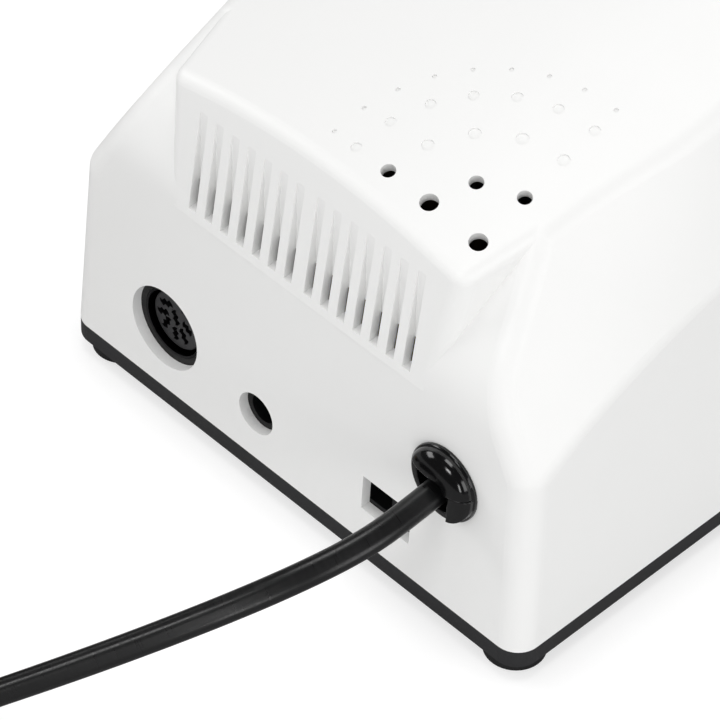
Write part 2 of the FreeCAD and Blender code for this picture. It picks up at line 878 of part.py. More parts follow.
def make_housing():
    shell = cut("housing_shell", whole_form("housing_outer", "0"), [whole_form("housing_inner", "wall")])
    posts = []
    for number, (side, end) in enumerate(FOUR_CORNERS):
        place = upright(f"{side}*{POST_ACROSS}", f"{end}*{POST_ALONG}", PAD_TOP)
        posts.append(cylinder(f"post_{number}", "post_radius", "post_height", place))
        web_end = "(body_width/2 - wall/2 - (pad_height + post_height)*tan(side_draft)/2)"
        web_place = upright(f"{side}*({POST_ACROSS} + {web_end})/2", f"{end}*{POST_ALONG}", PAD_TOP)
        posts.append(block(f"web_{number}", f"{web_end} - {POST_ACROSS}", "wall", "post_height", web_place))
    walls = fuse("housing_walls", [shell, *posts])
    openings = vent_slots() + fan_holes() + panel_cuts()
    openings.append(through_rear("din_opening", "din_hole", "din_across", "din_height"))
    openings.append(through_rear("jack_opening", "jack_hole", "jack_across", "jack_height"))
    openings.append(through_rear("relief_opening", "relief_hole", "relief_across", "relief_height"))
    openings.append(block("selector_opening", "selector_window_width", "selector_window_height", "4*wall",
                          on_rear("selector_across", "selector_height", "-2*wall")))
    for number, (side, end) in enumerate(FOUR_CORNERS):
        place = upright(f"{side}*{POST_ACROSS}", f"{end}*{POST_ALONG}", PAD_TOP)
        openings.append(cylinder(f"pilot_{number}", "screw_radius + bore_fit", "case_screw_length", place))
    node(cut("top_housing_solid", walls, openings), "top_housing")


# Base

SCREW_SEAT = "(foot_height + pad_height - wall - tray_rim_height/2)"


def screw(name, length, place):
    """A pan-head screw, its head down on the place and its shank along local z."""
    return turned(name, [
        ("0", "-screw_head_height"),
        ("screw_head_radius - screw_head_height/2", "-screw_head_height"),
        ("screw_head_radius", "-screw_head_height/2"),
        ("screw_head_radius", "0"),
        ("screw_radius", "0"),
        ("screw_radius", length),
        ("0", length),
    ], place)


def make_base():
    tray = extruded("tray_plate", rectangle("body_width", "body_length", "shoulder_edge_radius"),
                    "band_height", upright(z="foot_height"))
    bevel_edges(tray, "tray_bevel", lambda edge: edge.BoundBox.ZMax < 0.01, "tray_chamfer")
    inset = "(wall + tray_fit)"
    lip = extruded("tray_lip", rectangle(f"body_width - 2*{inset}", f"body_length - 2*{inset}",
                                         "shoulder_edge_radius - wall"),
                   "band_height - tray_floor + tray_rim_height", upright(z=FLOOR_TOP))
    inside = f"({inset} + tray_rim)"
    hollow = extruded("tray_hollow", rectangle(f"body_width - 2*{inside}", f"body_length - 2*{inside}",
                                               "inner_rounding"),
                      "2*band_height", upright(z=FLOOR_TOP))
    raised = cut("tray_walls", fuse("tray_solid", [tray, lip]), [hollow])
    adds = []
    holes = []
    for number, (side, end) in enumerate(FOUR_CORNERS):
        at = (f"{side}*{POST_ACROSS}", f"{end}*{POST_ALONG}")
        adds.append(cylinder(f"pad_{number}", "post_radius", "pad_height", upright(*at, "foot_height")))
        holes.append(cylinder(f"pad_hole_{number}", "screw_radius + clearance", "2*pad_height",
                              upright(*at, "foot_height")))
        holes.append(cylinder(f"pad_bore_{number}", "screw_head_radius + clearance",
                              f"{SCREW_SEAT} - foot_height", upright(*at, "foot_height")))
        holes.append(cylinder(f"stem_hole_{number}", "foot_stem_radius + bore_fit", "band_height",
                              upright(*foot_place(side, end), "foot_height")))
        at = board_corner(side, end)
        adds.append(cylinder(f"standoff_{number}", "standoff_radius", "board_lift", upright(*at, FLOOR_TOP)))
        holes.append(cylinder(f"standoff_bore_{number}", "screw_radius + bore_fit", "board_lift",
                              upright(*at, FLOOR_TOP)))
    for side in (-1, 1):
        at = strap_hole(side)
        holes.append(cylinder(f"strap_bore_{side}", "screw_radius + bore_fit", "tray_floor",
                              upright(*at, "foot_height + tray_chamfer")))
    node(cut("base_tray_solid", fuse("tray_full", [raised, *adds]), holes), "base_tray")

    screws = []
    feet = []
    for number, (side, end) in enumerate(FOUR_CORNERS):
        place = upright(f"{side}*{POST_ACROSS}", f"{end}*{POST_ALONG}", SCREW_SEAT)
        screws.append(screw(f"case_screw_{number}", "case_screw_length", place))
        feet.append(turned(f"foot_{number}", [
            ("0", "0"),
            ("foot_bottom_radius - tray_chamfer", "0"),
            ("foot_bottom_radius", "tray_chamfer"),
            ("foot_radius", "foot_height"),
            ("foot_stem_radius", "foot_height"),
            ("foot_stem_radius", FLOOR_TOP),
            ("foot_stem_radius + foot_barb", FLOOR_TOP),
            ("foot_stem_radius", f"{FLOOR_TOP} + 2*foot_barb"),
            ("0", f"{FLOOR_TOP} + 2*foot_barb"),
        ], upright(*foot_place(side, end))))
    node(group("case_screw_set", screws), "case_screws")
    node(group("foot_set", feet), "rubber_feet")


def foot_place(side, end):
    return f"{side}*(body_width/2 - foot_inset)", f"{end}*(body_length/2 - foot_inset)"


def board_corner(side, end):
    middle = "((board_front + board_back)/2)"
    reach = "((board_back - board_front)/2 - board_inset)"
    return f"{side}*(board_width/2 - board_inset)", f"{middle} + {end}*{reach}"


def strap_hole(side):
    return f"transformer_across + {side}*(core_width/2 + strap_foot/2)", "transformer_along"


# Sockets and selector at the rear

DIN_PINS = 5


def make_round_socket():
    seat = "(-wall)"
    back = f"({seat} - din_depth)"
    well = f"({back} + din_floor)"
    place = on_rear("din_across", "din_height")
    housing = turned("din_housing", [
        ("din_bore", seat),
        ("din_flange", seat),
        ("din_flange", f"{seat} - din_flange_depth"),
        ("din_sleeve", f"{seat} - din_flange_depth"),
        ("din_sleeve", back),
        ("0", back),
        ("0", well),
        ("din_bore", well),
    ], place)
    shield = "(din_bore - bore_fit)"
    node(turned("din_ring", [
        (f"{shield} - din_shield_wall", seat),
        (shield, seat),
        (shield, well),
        (f"{shield} - din_shield_wall", well),
    ], place), "din_shield")
    face = f"({seat} - din_insert_back)"
    plug = cylinder("din_plug", "din_insert", f"{face} - {well}", shifted(place, z=well))
    tail = f"({back} - din_tail)"
    pins = []
    housing_bores = []
    plug_bores = []
    for number in range(DIN_PINS):
        turn = f"({number}*45)"
        at = shifted(place, f"din_pin_ring*cos{turn}", f"din_pin_ring*sin{turn}", tail)
        pins.append(cylinder(f"din_pin_{number}", "din_pin_radius", f"{face} - {tail} - din_pin_drop", at))
        for tag, bores in (("floor", housing_bores), ("plug", plug_bores)):
            bores.append(cylinder(f"din_{tag}_bore_{number}", "din_pin_radius + bore_fit",
                                  "2*din_depth + din_tail", at))
    node(cut("din_bored_housing", housing, housing_bores), "din_socket_body")
    node(cut("din_bored_plug", plug, plug_bores), "din_insert")
    node(group("din_pin_set", pins), "din_contacts")


def make_pedal_jack():
    """A square body behind the hole in the wall, with a leaf contact beside the bore."""
    place = on_rear("jack_across", "jack_height")
    seat = "(-wall)"
    case = extruded("jack_case", rectangle("jack_body", "jack_body", "inner_rounding"), "jack_depth",
                    shifted(place, z=f"{seat} - jack_depth"))
    bore = cylinder("jack_bore_tool", "jack_bore", "jack_depth + 2*wall",
                    shifted(place, z=f"{seat} - jack_depth + din_floor"))
    leaf_slot = block("jack_leaf_slot", "terminal_width + 2*clearance", "jack_body/2", "jack_depth/2",
                      shifted(place, y="-jack_body/4 - jack_bore/2",
                              z=f"{seat} - jack_depth + din_floor"))
    node(cut("jack_bored", case, [bore, leaf_slot]), "foot_jack")
    node(extruded("jack_leaf", [
        ("-jack_body/2 + terminal_thickness", "0"),
        ("-jack_body/2 + terminal_thickness", "terminal_thickness"),
        ("-jack_bore - terminal_thickness", "terminal_thickness"),
        ("-jack_bore - clearance/2", "jack_depth/4"),
        ("-jack_bore - terminal_thickness", "jack_depth/2 - clearance"),
        ("-jack_bore - 2*terminal_thickness", "jack_depth/2 - clearance"),
        ("-jack_bore - terminal_thickness", "jack_depth/4"),
        ("-jack_bore - 2*terminal_thickness", "2*terminal_thickness"),
        ("-jack_body/2", "2*terminal_thickness"),
        ("-jack_body/2", "0"),
    ], "terminal_width", shifted(place, z=f"{seat} - jack_depth + din_floor"), "YZ_Plane", True),
        "jack_contact")


def make_voltage_selector():
    place = on_rear("selector_across", "selector_height")
    seat = "(-wall)"
    case = extruded("selector_case", rectangle("selector_body_width", "selector_body_height",
                                               "inner_rounding"),
                    "selector_body_depth", shifted(place, z=f"{seat} - selector_body_depth"))
    well = block("selector_well_tool", "selector_window_width", "selector_key_height + 2*clearance",
                 "2*selector_well", shifted(place, z=f"{seat} - selector_well"))
    node(cut("selector_walls", case, [well]), "voltage_selector")
    travel = "(selector_travel/2)"
    key = [
        ("-selector_key_width/2", "0"),
        ("selector_key_width/2", "0"),
        ("selector_key_width/2", "selector_well"),
        ("selector_key_width/6", "selector_well"),
        ("selector_key_width/6", "selector_well - 2*terminal_thickness"),
        ("-selector_key_width/6", "selector_well - 2*terminal_thickness"),
        ("-selector_key_width/6", "selector_well"),
        ("-selector_key_width/2", "selector_well"),
    ]
    node(extruded("selector_key", key, "selector_key_height",
                  shifted(place, travel, z=f"{seat} - selector_well + bore_fit"), "XZ_Plane", True),
         "selector_slider")


# Strain relief

def make_strain_relief():
    """A flanged bushing through the wall, split above the lead, and the half hood that clamps it."""
    place = on_rear("relief_across", "relief_height")
    neck = cylinder("relief_neck", "relief_hole - relief_fit", "relief_neck_depth",
                    shifted(place, z="-relief_neck_depth"))
    flange = turned("relief_flange_disc", [
        ("0", "0"),
        ("relief_flange", "0"),
        ("relief_flange", "relief_flange_depth - inner_rounding"),
        ("relief_flange - inner_rounding", "relief_flange_depth"),
        ("0", "relief_flange_depth"),
    ], place)
    block_left = "(relief_channel/3)"
    jaw = block("relief_jaw", f"relief_flange - {block_left}", "relief_flange + relief_split",
                "relief_block_depth + relief_flange_depth",
                shifted(place, f"(relief_flange + {block_left})/2", "(relief_split - relief_flange)/2"))
    jaw_limit = cylinder("relief_jaw_limit", "relief_flange - bore_fit", "2*relief_neck_depth", place)
    channel = cylinder("relief_channel_tool", "relief_channel", "4*relief_neck_depth",
                       shifted(place, z="-2*relief_neck_depth"))
    bushing = fuse("relief_bushing_full", [neck, flange, common("relief_jaw_round", jaw, jaw_limit)])
    node(cut("relief_bushing_solid", bushing, [channel]), "relief_bushing")

    dome = turned("relief_dome", [
        ("0", "relief_flange_depth"),
        ("relief_hood_radius", "relief_flange_depth"),
        ("relief_hood_radius", "relief_flange_depth + relief_hood_depth", "relief_hood_rounding"),
        ("0", "relief_flange_depth + relief_hood_depth"),
    ], place)
    above = block("relief_above", "2*relief_flange", "relief_flange", "2*relief_neck_depth",
                  shifted(place, y="relief_split + relief_flange/2"))
    step = block("relief_step", "relief_flange", "2*relief_flange", "relief_neck_depth",
                 shifted(place, "relief_flange/2 + 3*relief_hood_rounding/2",
                         z="relief_flange_depth + relief_hood_depth/2"))
    hood_channel = cylinder("relief_hood_channel", "relief_channel", "4*relief_neck_depth",
                            shifted(place, z="-2*relief_neck_depth"))
    half = common("relief_half_dome", dome, above)
    node(cut("relief_hood_solid", half, [step, hood_channel]), "relief_hood")


# Mains lead: one run from the relief to the coil, the put-away coil, and a tail to the plug

# The lead's free run after the relief, as the corners of its route, down to the table
CORD_ROUTE = (
    (-39.06, 92.83, 35.9),
    (-34.64, 106.4, 32.2),
    (-26.08, 121.27, 26.0),
    (-13.66, 138.35, 17.0),
    (0.14, 157.35, 8.2),
)
# Where it turns along the table into the coil, and the bearing of its last run
CORD_LANDING = (5.76, 171.26)
COIL_BEARING = 84.0
COIL_APPROACH = 13.0
COIL_TURNS_DOWN = 7
COIL_TURNS_UP = 7
TAIL_RUN = 8.0


def placed(text):
    """The Placement that a formula gives now."""
    probe = doc.addObject("App::Placement", "probe")
    bind(probe, "Placement", text)
    doc.recompute()
    result = probe.Placement
    doc.removeObject(probe.Name)
    return result


def route_wire(points):
    """Straight runs joined by tangent arcs, each as large as its two runs allow."""
    radii = []
    edges = []
    last = points[0]
    for i in range(1, len(points) - 1):
        back = points[i - 1] - points[i]
        ahead = points[i + 1] - points[i]
        shorter = min(back.Length, ahead.Length)
        back.normalize()
        ahead.normalize()
        turn = math.pi - back.getAngle(ahead)
        run = 0.45 * shorter
        radius = run / math.tan(turn / 2)
        middle = (back + ahead).normalize() * (radius / math.cos(turn / 2) - radius)
        start = points[i] + back * run
        end = points[i] + ahead * run
        edges.append(Part.LineSegment(last, start).toShape())
        edges.append(Part.Arc(start, points[i] + middle, end).toShape())
        last = end
        radii.append(radius)
    edges.append(Part.LineSegment(last, points[-1]).toShape())
    return Part.Wire(edges), radii


def tube(wire, name):
    """A round tube along a wire."""
    radius = value("cord_radius")
    start = wire.OrderedVertexes[0].Point
    along = wire.OrderedEdges[0].tangentAt(wire.OrderedEdges[0].FirstParameter)
    section = Part.Wire([Part.Circle(start, along, radius).toShape()])
    shell = Part.BRepOffsetAPI.MakePipeShell(wire)
    shell.add(section)
    shell.build()
    shell.makeSolid()
    solid = shell.shape()
    full = math.pi * radius ** 2 * wire.Length
    print(f"{name}: length {wire.Length:.1f} mm, volume {solid.Volume / full:.4f} of section times length")
    return solid


def fixed_shape(name, shape):
    item = doc.addObject("Part::Feature", name)
    item.Shape = shape
    item.Placement = Placement()
    return item


def coil_wire(start, along, across):
    """Half turns of falling radius, one that climbs a layer, and half turns of growing radius."""
    up = Vector(0, 0, 1)
    outer = value("coil_outer_radius")
    pitch = value("coil_pitch")
    layer = value("coil_layer")
    radii = [outer - i * pitch / 2 for i in range(COIL_TURNS_DOWN + 1)]
    steps = [(r, 0.0) for r in radii[:-1]] + [(radii[-1], layer)]
    steps += [(r, 0.0) for r in reversed(radii[:-1][-COIL_TURNS_UP:])]
    lead = 2 * value("cord_radius")
    at = start + along * lead
    edges = [Part.LineSegment(start, at).toShape()]
    way = 1
    for radius, rise in steps:
        end = at + across * (2 * radius * way) + up * rise
        centre = (at + end) * 0.5
        middle = centre + along * (way * (end - at).Length / 2)
        edges.append(Part.Arc(at, middle, end).toShape())
        at = end
        way = -way
    end = at + along * (lead * way)
    edges.append(Part.LineSegment(at, end).toShape())
    return Part.Wire(edges), end, along * way


def least_gap(wire):
    """The least distance between the tube's own turns, from points along its middle line."""
    radius = value("cord_radius")
    points = wire.discretize(Distance=radius / 2)
    near = 6 * radius
    skip = int(near / (radius / 2))
    least = min(
        (points[i] - points[j]).Length
        for i in range(0, len(points), 2)
        for j in range(i + skip, len(points), 2)
        if abs(points[i].x - points[j].x) < near and abs(points[i].y - points[j].y) < near
    )
    return least - 2 * radius


def make_mains_lead():
    up = Vector(0, 0, 1)
    exit_place = placed(on_rear("relief_across", "relief_height"))
    outward = exit_place.Rotation.multVec(up)
    coil_height = value("tie_thickness + tie_slack + cord_radius")
    bearing = math.radians(COIL_BEARING)
    along = Vector(math.cos(bearing), math.sin(bearing), 0)
    across = along.cross(up)
    landing = Vector(*CORD_LANDING, coil_height)
    points = [
        exit_place.Base - outward * value("cord_grip"),
        exit_place.Base + outward * value("cord_lead"),
        *(Vector(*point) for point in CORD_ROUTE),
        landing,
        landing + along * COIL_APPROACH,
    ]
    run, radii = route_wire(points)
    print("lead radii:", ", ".join(f"{radius:.0f}" for radius in radii))
    print("route:", "; ".join(f"{p.x:.2f} {p.y:.2f} {p.z:.2f}" for p in points))
    node(fixed_shape("lead_run", tube(run, "lead")), "power_cord")

    turns, end, away = coil_wire(points[-1], along, across)
    node(fixed_shape("lead_coil", tube(turns, "coil")), "cord_coil")
    print(f"coil: least gap to itself {least_gap(turns):.2f} mm")

    plug_height = value("plug_thickness/2")
    drop = up * (plug_height - end.z)
    tail_points = [
        end,
        end + away * TAIL_RUN,
        end + away * (2 * TAIL_RUN) + drop,
        end + away * (3 * TAIL_RUN) + drop,
    ]
    tail, radii = route_wire(tail_points)
    print("tail radii:", ", ".join(f"{radius:.0f}" for radius in radii))
    print("coil start:", points[-1], "tail:", tail_points)
    node(fixed_shape("lead_tail", tube(tail, "tail")), "cord_tail")
    make_plug(tail_points[-1], away)
    make_tie(points[-1] + along * value("2*cord_radius"), along, across)


def make_plug(at, away):
    """A moulded plug that swells from its neck to a rounded grip, with two flat blades."""
    place = Placement(at, Rotation(Vector(0, 1, 0), away))
    body = new_body("plug_form")
    sections = []
    for number, (along, width, height, radius) in enumerate((
        ("0", "2*plug_grip_radius", "2*plug_grip_radius", "plug_grip_radius - tray_chamfer"),
        ("plug_neck", "2*plug_grip_radius + 2*wall", "2*plug_grip_radius + wall", "plug_grip_radius"),
        ("plug_neck + plug_length/4", "plug_width", "plug_thickness", "plug_grip_radius"),
        ("plug_neck + 3*plug_length/4", "plug_width", "plug_thickness", "plug_grip_radius"),
        ("plug_neck + plug_length", "plug_width - wall", "plug_thickness - wall", "plug_grip_radius"),
    )):
        sketch = sketch_on(body, f"plug_section_{number}", "XZ_Plane", f"-({along})")
        outline(sketch, rectangle(width, height, radius))
        sections.append(sketch)
    skin = loft(body, "plug_loft", sections)
    skin.Ruled = True
    body.Placement = place
    node(body, "plug_body")
    blades = []
    for side in (-1, 1):
        blade = extruded(f"plug_blade_{side}", [
            ("-blade_width/2", "0"),
            ("blade_width/2", "0"),
            ("blade_width/2", "blade_length", "blade_thickness"),
            ("-blade_width/2", "blade_length", "blade_thickness"),
        ], "blade_thickness", None, "XZ_Plane", True)
        shift = Placement(Vector(side * value("blade_spacing/2"), value("plug_neck + plug_length"), 0),
                          Rotation(Vector(1, 1, 1), -120))
        blade.Placement = place * shift
        blades.append(blade)
    node(group("plug_blade_set", blades), "plug_blades")


def make_tie(at, along, across):
    """A band round the bundle of turns, on the side where the lead runs in."""
    slack = value("tie_slack")
    thick = value("tie_thickness")
    radius = value("cord_radius")
    pitch = value("coil_pitch")
    layer = value("coil_layer")
    turns = (COIL_TURNS_DOWN + 1) // 2
    lower = [Vector(i * pitch, at.z, 0) for i in (0, turns - 1)]
    upper = [Vector(i * pitch, at.z + layer, 0) for i in (1, turns)]
    centres = [lower[0], lower[1], upper[1], upper[0]]

    def loop(grow):
        """The outline at a distance round the four corner wires, flat on the table below."""
        reach = radius + slack + grow
        base = [Vector(c.x, c.y, 0) for c in centres]
        edges = []
        count = len(base)
        for i in range(count):
            a, b = base[i], base[(i + 1) % count]
            normal = (b - a).normalize().cross(Vector(0, 0, 1)) * reach
            edges.append((a + normal, b + normal))
        curve = []
        for i in range(count):
            start, end = edges[i]
            following = edges[(i + 1) % count][0]
            curve.append(Part.LineSegment(start, end).toShape())
            corner = base[(i + 1) % count]
            middle = corner + ((end - corner) + (following - corner)).normalize() * reach
            curve.append(Part.Arc(end, middle, following).toShape())
        return Part.Face(Part.Wire(curve))

    width = value("tie_width")
    outer = loop(thick)
    inner = loop(0)
    ring = outer.cut(inner).extrude(Vector(0, 0, width))
    matrix = FreeCAD.Matrix(
        across.x, 0, along.x, at.x - along.x * width / 2,
        across.y, 0, along.y, at.y - along.y * width / 2,
        0, 1, 0, 0,
        0, 0, 0, 1,
    )
    ring.transformShape(matrix)
    node(fixed_shape("tie_band", ring), "coil_tie")


# Inside the box

CORE_TOP = f"({PAD_TOP} + core_height)"


def make_transformer():
    """A stack of laminations round two windows, a winding on the middle leg and a strap over the top."""
    core_foot = f"({FLOOR_TOP} + strap_sheet)"
    frame = extruded("core_frame", [
        ("-core_width/2", "0"),
        ("core_width/2", "0"),
        ("core_width/2", "core_height"),
        ("-core_width/2", "core_height"),
    ], "core_stack", upright("transformer_across", "transformer_along", core_foot), "XZ_Plane", True)
    openings = []
    for side in (-1, 1):
        openings.append(block(f"core_window_{side}", "core_leg/2", "2*core_stack", "3*core_leg/2",
                              upright(f"transformer_across + {side}*3*core_leg/4", "transformer_along",
                                      f"{core_foot} + (core_height - 3*core_leg/2)/2")))
    node(cut("core_solid", frame, openings), "transformer_core")

    low = f"({core_foot} + (core_height - 3*core_leg/2)/2 + clearance)"
    tall = "(3*core_leg/2 - 2*clearance)"
    winding = extruded("winding_block", rectangle("core_leg + 2*winding_reach", "core_stack + 2*winding_reach",
                                                  "winding_corner"),
                       tall, upright("transformer_across", "transformer_along", low))
    leg = block("winding_leg", "core_leg + 2*clearance", "core_stack + 2*clearance", "core_height",
                upright("transformer_across", "transformer_along", FLOOR_TOP))
    node(cut("winding_solid", winding, [leg]), "transformer_winding")

    outer_half = "(core_width/2 + clearance + strap_sheet)"
    inner_half = "(core_width/2 + clearance)"
    top = "(core_height + strap_sheet + clearance)"
    strap = extruded("strap_band", [
        (f"-{inner_half} - strap_foot", "0"),
        (f"-{inner_half}", "0"),
        (f"-{inner_half}", f"{top}"),
        (f"{inner_half}", f"{top}"),
        (f"{inner_half}", "0"),
        (f"{inner_half} + strap_foot", "0"),
        (f"{inner_half} + strap_foot", "strap_sheet"),
        (f"{outer_half}", "strap_sheet"),
        (f"{outer_half}", f"{top} + strap_sheet"),
        (f"-{outer_half}", f"{top} + strap_sheet"),
        (f"-{outer_half}", "strap_sheet"),
        (f"-{inner_half} - strap_foot", "strap_sheet"),
    ], "strap_width", upright("transformer_across", "transformer_along", FLOOR_TOP), "XZ_Plane", True)
    bores = []
    screws = []
    for side in (-1, 1):
        at = strap_hole(side)
        bores.append(cylinder(f"strap_hole_{side}", "screw_radius + clearance", "2*tray_floor",
                              upright(*at, FLOOR_TOP)))
        place = f"{upright(*at, f'{FLOOR_TOP} + strap_sheet')} * {flipped()}"
        screws.append(screw(f"strap_screw_{side}", "strap_sheet + tray_floor - tray_chamfer - clearance", place))
    seat = block("core_seat", "core_width/2", "strap_width", "strap_sheet",
                 upright("transformer_across", "transformer_along", FLOOR_TOP))
    node(cut("strap_solid", strap, bores), "transformer_strap")
    node(seat, "transformer_pad")
    node(group("strap_screw_set", screws), "transformer_screws")


def flipped():
    return "placement(vector(0; 0; 0); rotation(vector(1; 0; 0); 180))"


def make_terminal_block():
    """A row of three wire clamps on a moulded block."""
    place = upright("terminal_side_inset - body_width/2", f"{REAR} - terminal_rear_inset", FLOOR_TOP)
    body = extruded("terminal_base", [
        ("-terminal_depth/2", "0"),
        ("terminal_depth/2", "0"),
        ("terminal_depth/2", "terminal_height/2"),
        ("terminal_depth/4", "terminal_height"),
        ("-terminal_depth/4", "terminal_height"),
        ("-terminal_depth/2", "terminal_height/2"),
    ], "3*terminal_pitch", place, "XZ_Plane", True)
    holes = []
    for number in (-1, 0, 1):
        at = shifted(place, y=f"{number}*terminal_pitch")
        holes.append(cylinder(f"clamp_well_{number}", "terminal_pitch/4", "terminal_height",
                              shifted(at, z="terminal_height/2")))
        holes.append(block(f"clamp_mouth_{number}", "2*terminal_depth", "terminal_pitch/2",
                           "terminal_height/4", shifted(at, z="terminal_height/6")))
    node(cut("terminal_solid", body, holes), "terminal_block")


BOARD_FOOT = f"({FLOOR_TOP} + board_lift)"
BOARD_TOP = f"({BOARD_FOOT} + board_thickness)"


def make_circuit_board():
    middle = "((board_front + board_back)/2)"
    plate = extruded("board_plate", rectangle("board_width", "board_back - board_front", "inner_rounding"),
                     "board_thickness", upright("0", middle, BOARD_FOOT))
    bores = []
    screws = []
    for number, (side, end) in enumerate(FOUR_CORNERS):
        at = board_corner(side, end)
        bores.append(cylinder(f"board_bore_{number}", "screw_radius + clearance", "2*board_thickness",
                              upright(*at, f"{BOARD_FOOT} - board_thickness/2")))
        place = f"{upright(*at, BOARD_TOP)} * {flipped()}"
        screws.append(screw(f"board_screw_{number}", "board_screw_length", place))
    node(cut("board_solid", plate, bores), "circuit_board")
    node(group("board_screw_set", screws), "board_screws")


SINK_FINS = 6


def make_board_parts():
    sink = upright("sink_across", "sink_along", BOARD_TOP)
    pieces = [extruded("sink_base", rectangle("sink_length", "sink_sheet"), "sink_height", sink)]
    for number in range(SINK_FINS):
        across = f"(sink_length - sink_sheet)*({number}/{SINK_FINS - 1} - 1/2)"
        pieces.append(block(f"sink_fin_{number}", "sink_sheet", "sink_reach", "sink_height",
                            shifted(sink, across, "(sink_reach + sink_sheet)/2 - inner_rounding/2")))
    node(fuse("sink_solid", pieces), "heat_sink")

    chip = shifted(sink, y="-(sink_sheet + transistor_depth)/2", z="transistor_lift")
    case = block("transistor_case", "transistor_width", "transistor_depth", "transistor_height", chip)
    legs = [
        block(f"transistor_leg_{number}", "terminal_thickness", "terminal_thickness", "transistor_lift",
              shifted(sink, f"{number}*transistor_width/4", "-(sink_sheet + transistor_depth)/2"))
        for number in (-1, 0, 1)
    ]
    node(fuse("transistor_solid", [case, *legs]), "power_transistor")

    cans = []
    for number, (across, radius, height) in enumerate((
        ("can_across", "can_radius", "can_height"),
        ("can_across + 2*can_radius", "2*can_radius/3", "2*can_height/3"),
    )):
        cans.append(turned(f"can_{number}", [
            ("0", "0"),
            (radius, "0"),
            (radius, "can_height/12"),
            (f"{radius} - inner_rounding", "can_height/9"),
            (radius, "can_height/6"),
            (radius, f"{height} - inner_rounding"),
            (f"{radius} - inner_rounding", height),
            ("0", height),
        ], upright(across, "can_along", BOARD_TOP)))
    node(group("can_set", cans), "filter_capacitors")

    bridge = extruded("bridge_block", [
        ("-bridge_length/2", "0"),
        ("bridge_length/2", "0"),
        ("bridge_length/2", "bridge_height - wall"),
        ("bridge_length/2 - wall", "bridge_height"),
        ("-bridge_length/2", "bridge_height"),
    ], "bridge_depth", upright("bridge_across", "bridge_along", BOARD_TOP), "XZ_Plane", True)
    node(bridge, "bridge_rectifier")

    chip_place = upright("chip_across", "chip_along", BOARD_TOP)
    body = block("chip_body", "chip_length", "chip_width", "chip_height",
                 shifted(chip_place, z="terminal_thickness"))
    rows = [
        block(f"chip_legs_{side}", "chip_length - wall", "terminal_thickness", "chip_height/2",
              shifted(chip_place, y=f"{side}*(chip_width + terminal_thickness)/2"))
        for side in (-1, 1)
    ]
    node(fuse("chip_solid", [body, *rows]), "control_chip")

    plugs = []
    for number in range(3):
        at = upright(f"header_across + {number}*header_pitch", "header_along", BOARD_TOP)
        shell = block(f"header_{number}", "header_length", "header_depth", "header_height", at)
        hollow = block(f"header_well_{number}", "header_length - wall", "header_depth - wall",
                       "header_height", shifted(at, z="wall"))
        plugs.append(cut(f"header_cut_{number}", shell, [hollow]))
    node(group("header_set", plugs), "board_connectors")

    fuse_place = upright("fuse_across", "fuse_along", BOARD_TOP)
    base = block("fuse_base", "fuse_length + 2*wall", "2*fuse_radius + wall", "wall", fuse_place)
    axis_height = "(wall + fuse_radius + inner_rounding)"
    clips = []
    bed = cylinder("fuse_bed", "fuse_radius + bore_fit", "2*fuse_length",
                   f"{shifted(fuse_place, '-fuse_length', z=axis_height)} * {lying()}")
    mouth = block("fuse_mouth", "2*fuse_length", "fuse_radius", "4*fuse_radius",
                  shifted(fuse_place, z=axis_height))
    for side in (-1, 1):
        clips.append(block(f"fuse_clip_{side}", "fuse_length/5", "2*fuse_radius + 2*terminal_thickness",
                           f"{axis_height} + fuse_radius - terminal_thickness",
                           shifted(fuse_place, f"{side}*(fuse_length/2 - fuse_length/8)")))
    node(cut("fuse_holder_solid", fuse("fuse_holder_full", [base, *clips]), [bed, mouth]), "fuse_holder")
    node(cylinder("fuse_tube", "fuse_radius", "fuse_length",
                  f"{shifted(fuse_place, '-fuse_length/2', z=axis_height)} * {lying()}"), "fuse")


def lying():
    return "placement(vector(0; 0; 0); rotation(vector(0; 1; 0); 90))"


# Controls on the sloping face

def make_control_panel():
    middle = "((fascia_top + fascia_bottom)/2)"
    plate = extruded("fascia_plate", rectangle("2*fascia_half_width", "fascia_bottom - fascia_top",
                                               "fascia_corner"),
                     "fascia_thickness", on_panel("0", middle, "-fascia_thickness"))
    node(cut("fascia_solid", plate, panel_openings("fascia", "wall")), "control_panel")


KNOB_FLUTES = 24


